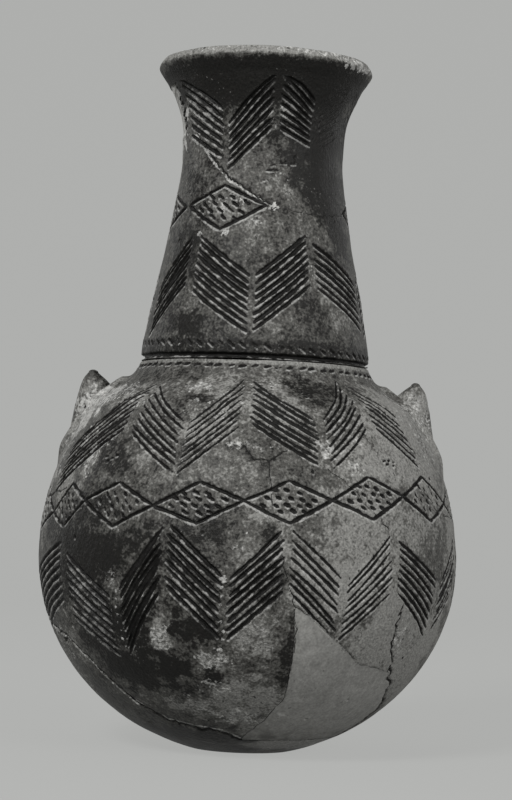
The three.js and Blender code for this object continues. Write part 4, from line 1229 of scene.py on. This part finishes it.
def lug_mesh(top, seed):
    """A lug on the right: an ear of level ovals, sunk in the wall, with its peg."""
    stretch = (top - LUG_FOOT) / (LUG_TOP - LUG_FOOT)
    outer, inner = (resample(spline(edge, LUG_CURVE_STEPS), LUG_ROWS)
                    for edge in (LUG_OUTER_EDGE, LUG_INNER_EDGE))
    up = np.linspace(0, 1, LUG_ROWS)[:, None]
    half = LUG_THICKNESS / 2 * (1 - LUG_TAPER * up ** 4)
    turn = np.radians(np.arange(LUG_COLUMNS) * FULL / LUG_COLUMNS)[None]
    middle, reach = (outer + inner) / 2, (outer - inner) / 2
    x = middle[:, :1] + reach[:, :1] * np.cos(turn)
    z = middle[:, 1:] + reach[:, 1:] * np.cos(turn)
    y = half * np.sin(turn)
    tip = np.cos(np.linspace(0, math.pi / 2, LUG_TIP_ROWS + 1)[1:-1])[:, None]
    point = np.array([LUG_POINT_RADIUS, 0, LUG_TOP])
    last = np.stack([x[-1], y[-1], z[-1]], -1)
    cap = point + (last - point) * [1, 1, 0] * tip[..., None]
    cap[..., 2] = last[:, 2] + (point[2] - last[:, 2]) * np.sqrt(1 - tip ** 2)
    points = np.concatenate([np.stack([x, y, z], -1), cap])
    points[..., 2] = LUG_FOOT + (points[..., 2] - LUG_FOOT) * stretch
    centre = points.mean(1, keepdims=True)
    away = points - centre
    away /= np.linalg.norm(away, axis=2, keepdims=True) + 1e-9
    uneven_by = 0.45 * waves(points, 11, 18, seed) + 0.12 * waves(points, 3, 30, seed + 1) - 0.5
    points = points + away * uneven_by[..., None]
    peg = disc_rings([(PEG_RADIUS, -WALL_AT_PEG), (PEG_RADIUS, PEG_IN_LUG)], PEG_COLUMNS)
    body = turned_mesh("body", body_outline() - [LUG_SINK, 0])
    return cut_mesh(free_mesh("lug", points), [("DIFFERENCE", body), ("UNION", free_mesh("peg", peg))])


def wad_mesh(seed):
    """The pad of clay pressed over the inner end of a peg, with the dents of fingers."""
    t = np.linspace(0.04, math.pi - 0.04, WAD_ROWS)
    profile = np.c_[WAD_RADIUS * np.sin(t), -WALL_AT_PEG - WAD_THICKNESS * np.cos(t)]
    points = disc_rings(profile, WAD_COLUMNS)
    points = points + [0.35, 0, 0] * (waves(points, 6, 16, seed) - 1)[..., None]
    hollow = turned_mesh("hollow", hollow_outline() - [WAD_GAP, 0])
    return cut_mesh(free_mesh("wad", points), [("INTERSECT", hollow)])


def free_piece(node, mesh, left):
    """Puts a lug or a pad of clay in place; the left ones are turned half round the axis."""
    if left:
        mesh.transform(Matrix.Rotation(math.pi, 4, "Z"))
    mesh.name = "finished_" + node
    points = np.zeros(len(mesh.vertices) * 3, np.float32)
    mesh.vertices.foreach_get("co", points)
    points = points.reshape(-1, 3) / MM
    marks = {name: np.zeros(len(points)) for name in MARKS}
    for name, place, size, amount in LUG_STAINS.get(node, []):
        far = np.linalg.norm((points - np.array(place)) / np.array(size), axis=1)
        rag = waves(points, min(size) * 0.6, 14, int(sum(place)))
        marks[name] = np.maximum(marks[name], amount * (1 - smooth_step(far + 0.4 * rag, 0.55, 1.2)))
    set_marks(mesh, marks)
    mesh.shade_smooth()
    return dress(node, mesh)


# Finishes

class Finish:
    """Adds shader nodes to one material. Sizes are in mm on the flask itself."""

    def __init__(self, name):
        self.material = bpy.data.materials.new(name)
        self.material.use_nodes = True
        self.tree = self.material.node_tree
        self.shader = self.tree.nodes["Principled BSDF"]
        self.place = self.node("TexCoord", {}).outputs["Object"]

    def node(self, kind, inputs, **settings):
        made = self.tree.nodes.new("ShaderNode" + kind)
        for name, value in settings.items():
            setattr(made, name, value)
        for name, value in inputs.items():
            if isinstance(value, bpy.types.NodeSocket):
                self.tree.links.new(value, made.inputs[name])
            else:
                made.inputs[name].default_value = value
        return made

    def math(self, operation, a, b=0.0):
        return self.node("Math", {0: a, 1: b}, operation=operation).outputs[0]

    def times(self, a, b):
        return self.math("MULTIPLY", a, b)

    def add(self, *terms):
        total = terms[0]
        for term in terms[1:]:
            total = self.math("ADD", total, term)
        return total

    def noise(self, size, strength=1.0, detail=3.0, stretch=(1, 1, 1)):
        """Noise about zero, with features of that size in mm."""
        place = self.node("Mapping", {"Vector": self.place, "Scale": stretch}).outputs[0]
        made = self.node("TexNoise", {"Vector": place, "Scale": 0.6 / (size * MM), "Detail": detail})
        return self.times(self.math("SUBTRACT", made.outputs["Fac"], 0.5), 2 * strength)

    def step(self, value, low, high, most=1.0):
        made = self.node("MapRange", {"Value": value, "From Min": low, "From Max": high, "To Max": most},
                         interpolation_type="SMOOTHSTEP")
        return made.outputs[0]

    def mix(self, amount, first, second):
        made = self.node("Mix", {"Factor": amount}, data_type="RGBA")
        for k, colour in ((6, first), (7, second)):
            if isinstance(colour, bpy.types.NodeSocket):
                self.tree.links.new(colour, made.inputs[k])
            else:
                made.inputs[k].default_value = (*colour, 1)
        return made.outputs[2]

    def marks(self):
        """The painted masks of the mesh, by name."""
        found = {}
        for name, channels in MASKS.items():
            attribute = self.node("Attribute", {}, attribute_name=name)
            split = self.node("SeparateColor", {"Color": attribute.outputs["Color"]})
            found.update(zip(channels, [*split.outputs, attribute.outputs["Alpha"]]))
        return found

    def grained(self, colour, size, strength):
        """The colour made lighter and darker from grain to grain."""
        share = self.add(1.0, self.noise(size, strength, 2))
        return self.node("VectorMath", {0: colour, "Scale": share}, operation="SCALE").outputs[0]

    def finish(self, colour, roughness, height, depth):
        """Joins colour, roughness and a bump of that depth in mm to the shader."""
        bump = self.node("Bump", {"Height": height, "Distance": depth * MM})
        self.tree.links.new(colour, self.shader.inputs["Base Color"])
        self.tree.links.new(roughness, self.shader.inputs["Roughness"])
        self.tree.links.new(bump.outputs[0], self.shader.inputs["Normal"])
        self.shader.inputs["Specular IOR Level"].default_value = SPECULAR
        return self.material


def plaster_colour(made, colours):
    """Toned plaster: soft clouds, faint tool streaks and a few specks."""
    clouds = made.add(made.noise(18, 0.4), made.noise(4, 0.35), made.noise(1.6, 0.5, stretch=(1, 1, 0.14)))
    light = made.mix(made.step(clouds, -0.45, 0.45), [c * 0.8 for c in colours.plaster],
                     [c * 1.18 for c in colours.plaster])
    light = made.mix(made.step(made.noise(1.2, 1.0, 1), 0.42, 0.55, 0.6), light, colours.clay)
    return made.grained(light, 0.7, 0.45)


def clay_finish(slot, paleness, roughness):
    """Fired clay between smoked black and worn grey, with dirt and painted shade in its strokes, a painted
    highlight on the side of each that faces up, and crumbs of lime.
    """
    made = Finish(slot)
    colours = bpy.context.scene.flask_colours
    mark = made.marks()
    # Mottled clay with pale and dark specks
    mottle = made.add(made.noise(24, 0.16), made.noise(7, 0.34, 4), made.noise(2.2, 0.56, 3),
                      made.noise(0.8, 0.75, 2))
    tone = made.add(mottle, 0.5 + paleness, made.times(mark["pale"], 0.5))
    # The dark mask lowers the tone for smoke stains and for painted shade
    tone = made.math("SUBTRACT", tone, made.times(mark["dark"], 0.6))
    clay = made.mix(made.step(tone, 0.05, 0.55), colours.dark_clay, colours.clay)
    clay = made.mix(made.step(tone, 0.5, 1.1), clay, colours.pale_clay)
    specks = made.times(made.step(made.noise(0.9, 1.0, 2), 0.36, 0.48, 0.6),
                       made.step(made.noise(14, 1.0), -0.1, 0.3))
    clay = made.mix(specks, clay, colours.pale_clay)
    clay = made.mix(made.step(made.noise(1.3, 1.0, 2), 0.36, 0.48, 0.8), clay, colours.dirt_and_shade)
    clay = made.mix(mark["plaster"], clay, plaster_colour(made, colours))
    # Crumbs of lime, then black dirt and painted shade in the strokes that they leave open
    crumbs = made.add(mark["lime"], made.noise(3.4, 0.4, 4), made.noise(0.9, 0.75, 2))
    limed = made.step(crumbs, 0.4, 0.8, 0.85)
    lime = made.mix(made.step(made.noise(2, 1.0), -0.4, 0.4), [c * 0.6 for c in colours.lime], colours.lime)
    clay = made.mix(limed, clay, lime)
    edge = made.noise(1.0, 0.35, 2)
    shut = made.step(mark["lime"], 0.95, 0.7)
    cut = made.times(made.step(made.add(mark["cut"], edge), 0.42, 0.62), shut)
    dirt_and_shade = made.math("MAXIMUM", cut, made.step(made.add(mark["crack"], edge), 0.4, 0.65))
    clay = made.mix(made.times(dirt_and_shade, 0.95), clay, colours.dirt_and_shade)
    # Painted highlight on the side of each stroke that faces up, toward the light from above, weaker where
    # the clay is smoked
    ledge_highlight = made.step(made.add(mark["ledge_highlight"], made.noise(2.4, 0.5, 3)), 0.38, 0.68)
    keep = made.math("SUBTRACT", 0.8, made.times(mark["dark"], 0.36))
    clay = made.mix(made.times(ledge_highlight, keep), clay, [c * 0.6 for c in colours.lime])
    clay = made.mix(mark["hollow"], clay, [c * 0.9 for c in colours.clay])
    clay = made.grained(clay, 0.6, 0.85)
    # Roughness and relief, with the streaks of scraping
    streaks = made.noise(1.6, 0.5, 3, stretch=(1, 1, 0.1))
    rough = made.add(roughness, made.times(made.step(tone, 0.2, 1.1), 0.26),
                     made.noise(5, 0.1), made.times(streaks, 0.09),
                     made.times(limed, 0.18))
    height = made.add(made.noise(0.9, 0.6, 4), made.noise(2.6, 0.45, 3), made.times(streaks, 0.4),
                      made.times(limed, 0.6))
    return made.finish(clay, rough, height, CLAY_RELIEF)


def plaster_finish(slot):
    """Plaster of the mends, with dirt in its cracks and lime on it."""
    made = Finish(slot)
    colours = bpy.context.scene.flask_colours
    mark = made.marks()
    colour = plaster_colour(made, colours)
    dirt_and_shade = made.step(made.add(mark["crack"], made.noise(1.0, 0.35, 2)), 0.4, 0.7, 0.85)
    colour = made.mix(dirt_and_shade, colour, colours.dirt_and_shade)
    colour = made.mix(made.times(mark["dark"], 0.5), colour, colours.clay)
    limed = made.step(made.add(mark["lime"], made.noise(2.4, 0.4, 4)), 0.45, 0.7, 0.9)
    colour = made.mix(limed, colour, colours.lime)
    colour = made.mix(mark["hollow"], colour, [c * 0.7 for c in colours.plaster])
    streaks = made.noise(1.4, 0.5, 3, stretch=(1, 1, 0.08))
    rough = made.add(0.74, made.noise(6, 0.06), made.times(streaks, 0.08))
    height = made.add(made.noise(1.1, 0.35, 4), streaks)
    return made.finish(colour, rough, height, PLASTER_RELIEF)


@functools.cache
def finish(slot):
    """The material of one slot of the record."""
    if slot == "mend_plaster":
        return plaster_finish(slot)
    return clay_finish(slot, *CLAYS[slot])


# Stage

def stage_finish():
    """Pale paper: it renders at its own colour to the eye, and keeps part of the flask's shadow."""
    made = Finish("backdrop_paper")
    colour = tuple(bpy.context.scene.stage_settings.backdrop)
    made.shader.inputs["Base Color"].default_value = (*[c * PAPER_SHADE for c in colour], 1)
    made.shader.inputs["Roughness"].default_value = PAPER_ROUGHNESS
    path = made.node("LightPath", {})
    seen = made.math("MAXIMUM", path.outputs["Is Camera Ray"],
                     made.math("MAXIMUM", path.outputs["Is Glossy Ray"], path.outputs["Is Transmission Ray"]))
    glow = made.node("Emission", {"Color": (*colour, 1), "Strength": 1.0})
    mix = made.node("MixShader", {0: made.times(seen, GLOW_SHARE), 1: made.shader.outputs[0],
                                  2: glow.outputs[0]})
    out = made.tree.nodes["Material Output"]
    made.tree.links.new(mix.outputs[0], out.inputs["Surface"])
    return made.material


def add_backdrop():
    """A floor that curves up into a backdrop behind the flask."""
    turn = np.linspace(0, math.pi / 2, 24)
    bend = [(BEND_START + BEND_RADIUS * math.sin(t), BEND_RADIUS * (1 - math.cos(t))) for t in turn]
    profile = [(FLOOR_FRONT, 0)] + bend + [(BEND_START + BEND_RADIUS, BACKDROP_TOP)]
    points = [(x, y, z) for y, z in profile for x in (-BACKDROP_HALF_WIDTH, BACKDROP_HALF_WIDTH)]
    faces = [(2 * k, 2 * k + 1, 2 * k + 3, 2 * k + 2) for k in range(len(profile) - 1)]
    mesh = bpy.data.meshes.new("backdrop")
    mesh.from_pydata(points, [], faces)
    mesh.shade_smooth()
    mesh.materials.append(stage_finish())
    backdrop = bpy.data.objects.new("backdrop", mesh)
    bpy.context.collection.objects.link(backdrop)


def add_lamp(name, place, power, size):
    """A square lamp that shines at the middle of the flask."""
    lamp = bpy.data.lights.new(name, "AREA")
    lamp.energy = power
    lamp.size = size
    lamp_object = bpy.data.objects.new(name, lamp)
    lamp_object.location = place
    aim = LAMP_AIM - Vector(place)
    lamp_object.rotation_euler = aim.to_track_quat("-Z", "Y").to_euler()
    bpy.context.collection.objects.link(lamp_object)


def add_world():
    """Even, weak light from all sides."""
    world = bpy.data.worlds.new("studio")
    world.use_nodes = True
    light = world.node_tree.nodes["Background"].inputs
    light["Color"].default_value = (WORLD_GREY, WORLD_GREY, WORLD_GREY, 1)
    light["Strength"].default_value = WORLD_STRENGTH
    bpy.context.scene.world = world


def add_camera():
    """The camera of the photograph, from the pitch, pan and roll that fit its edges."""
    settings = bpy.context.scene.stage_settings
    forward = Vector((math.sin(settings.pan) * math.cos(settings.pitch),
                      math.cos(settings.pan) * math.cos(settings.pitch), math.sin(settings.pitch)))
    right = forward.cross(Vector((0, 0, 1))).normalized()
    up = right.cross(forward)
    c, s = math.cos(settings.roll), math.sin(settings.roll)
    axes = Matrix((c * right + s * up, c * up - s * right, -forward)).transposed().to_4x4()
    data = bpy.data.cameras.new("camera")
    data.sensor_fit = "VERTICAL"
    data.sensor_height = SENSOR_HEIGHT
    data.lens = settings.focal
    camera = bpy.data.objects.new("camera", data)
    camera.matrix_world = Matrix.Translation((0, -settings.distance, settings.height)) @ axes
    bpy.context.collection.objects.link(camera)
    bpy.context.scene.camera = camera


# Operators: one for each group of pieces, and one for the stage

class PieceOperator:
    """What every operator of the flask shares"""
    bl_options = {"REGISTER", "UNDO"}


class FLASK_OT_base_pad(PieceOperator, bpy.types.Operator):
    """The thick pad of clay under the body"""
    bl_idname = "flask.base_pad"
    bl_label = "Base pad"

    def execute(self, context):
        wall = pad_wall()
        sherd("base_pad", pad_wall, np.ones((wall.rows - 1, wall.columns), bool), capped=True)
        return {"FINISHED"}


def body_cells():
    """The sherd that each cell of the body belongs to, with none where a peg goes through."""
    wall = body_wall()
    angle, level, run = cell_centres(wall)
    names = body_sherds(angle, level)
    for side in (90, -90):
        across = (angle - side + FULL / 2) % FULL - FULL / 2
        far = np.hypot(across * math.radians(1) * body_radius(PEG_HEIGHT), run - wall.run_at(PEG_HEIGHT))
        names[far < PEG_RADIUS + PEG_GAP] = ""
    return names


def cell_centres(wall):
    """Angle, height and run at the middle of each cell."""
    angle = wall.angle[None, :] + FULL / 2 / wall.columns
    level, run = ((rows[1:] + rows[:-1]) / 2 for rows in (wall.level, wall.run))
    return angle, level[:, None], run[:, None]


class FLASK_OT_body_sherds(PieceOperator, bpy.types.Operator):
    """The fired sherds of the body, with their incised bands"""
    bl_idname = "flask.body_sherds"
    bl_label = "Body sherds"

    def execute(self, context):
        names = body_cells()
        for node in sorted(set(names.flat) - {"", "plaster_fill"}):
            sherd(node, body_wall, names == node)
        return {"FINISHED"}


class FLASK_OT_plaster_fill(PieceOperator, bpy.types.Operator):
    """The plaster that stands for the lost sherd of the belly"""
    bl_idname = "flask.plaster_fill"
    bl_label = "Plaster fill"

    def execute(self, context):
        sherd("plaster_fill", body_wall, body_cells() == "plaster_fill")
        return {"FINISHED"}


def neck_cells():
    """The piece that each cell of the neck belongs to."""
    angle, level, _ = cell_centres(neck_wall())
    return neck_sherds(angle, level)


class FLASK_OT_neck_sherds(PieceOperator, bpy.types.Operator):
    """The two fired sherds of the neck"""
    bl_idname = "flask.neck_sherds"
    bl_label = "Neck sherds"

    def execute(self, context):
        names = neck_cells()
        for node in ("neck_lower_sherd", "neck_upper_sherd"):
            sherd(node, neck_wall, names == node)
        return {"FINISHED"}


class FLASK_OT_neck_fill(PieceOperator, bpy.types.Operator):
    """The small fill under the rim"""
    bl_idname = "flask.neck_fill"
    bl_label = "Neck fill"

    def execute(self, context):
        sherd("neck_fill", neck_wall, neck_cells() == "neck_fill")
        return {"FINISHED"}


class FLASK_OT_rim_coil(PieceOperator, bpy.types.Operator):
    """The last coil, turned out to the lip"""
    bl_idname = "flask.rim_coil"
    bl_label = "Rim coil"

    def execute(self, context):
        wall = rim_wall()
        sherd("rim_coil", rim_wall, np.ones((wall.rows - 1, wall.columns), bool), welded=True)
        return {"FINISHED"}


class FLASK_OT_lugs(PieceOperator, bpy.types.Operator):
    """The two pointed ears with their pegs"""
    bl_idname = "flask.lugs"
    bl_label = "Lugs"

    def execute(self, context):
        free_piece("left_lug", lug_mesh(LUG_TOP_LEFT, 51), left=True)
        free_piece("right_lug", lug_mesh(LUG_TOP, 52), left=False)
        return {"FINISHED"}


class FLASK_OT_lug_wads(PieceOperator, bpy.types.Operator):
    """The pads of clay pressed over the pegs inside"""
    bl_idname = "flask.lug_wads"
    bl_label = "Pads over the pegs"

    def execute(self, context):
        free_piece("left_lug_wad", wad_mesh(53), left=True)
        free_piece("right_lug_wad", wad_mesh(54), left=False)
        return {"FINISHED"}


class FLASK_OT_stage(PieceOperator, bpy.types.Operator):
    """Floor, backdrop, lamps and camera"""
    bl_idname = "flask.stage"
    bl_label = "Stage"

    def execute(self, context):
        add_backdrop()
        for lamp in LAMPS:
            add_lamp(*lamp)
        add_world()
        context.scene.view_settings.view_transform = "Standard"
        add_camera()
        return {"FINISHED"}


class FLASK_PT_panel(bpy.types.Panel):
    """Sizes, colours and the steps that build the flask"""
    bl_label = "Pottery flask"
    bl_idname = "FLASK_PT_panel"
    bl_space_type = "VIEW_3D"
    bl_region_type = "UI"
    bl_category = "Flask"

    def draw(self, context):
        scene = context.scene
        for settings in (scene.flask_sizes, scene.flask_colours, scene.stage_settings):
            box = self.layout.box()
            for name in settings.__annotations__:
                box.prop(settings, name)
        for operator in OPERATORS:
            self.layout.operator(operator.bl_idname)


OPERATORS = (FLASK_OT_base_pad, FLASK_OT_body_sherds, FLASK_OT_plaster_fill, FLASK_OT_neck_sherds,
             FLASK_OT_neck_fill, FLASK_OT_rim_coil, FLASK_OT_lugs, FLASK_OT_lug_wads, FLASK_OT_stage)
CLASSES = (FlaskSizes, FlaskColours, StageSettings) + OPERATORS + (FLASK_PT_panel,)


def register():
    for kind in CLASSES:
        bpy.utils.register_class(kind)
    bpy.types.Scene.flask_sizes = bpy.props.PointerProperty(type=FlaskSizes)
    bpy.types.Scene.flask_colours = bpy.props.PointerProperty(type=FlaskColours)
    bpy.types.Scene.stage_settings = bpy.props.PointerProperty(type=StageSettings)


def unregister():
    del bpy.types.Scene.flask_sizes
    del bpy.types.Scene.flask_colours
    del bpy.types.Scene.stage_settings
    for kind in reversed(CLASSES):
        bpy.utils.unregister_class(kind)


def main():
    """Builds the flask and its stage."""
    register()
    bpy.ops.flask.base_pad()
    bpy.ops.flask.body_sherds()
    bpy.ops.flask.plaster_fill()
    bpy.ops.flask.neck_sherds()
    bpy.ops.flask.neck_fill()
    bpy.ops.flask.rim_coil()
    bpy.ops.flask.lugs()
    bpy.ops.flask.lug_wads()
    bpy.ops.flask.stage()


if __name__ == "__main__":
    main()
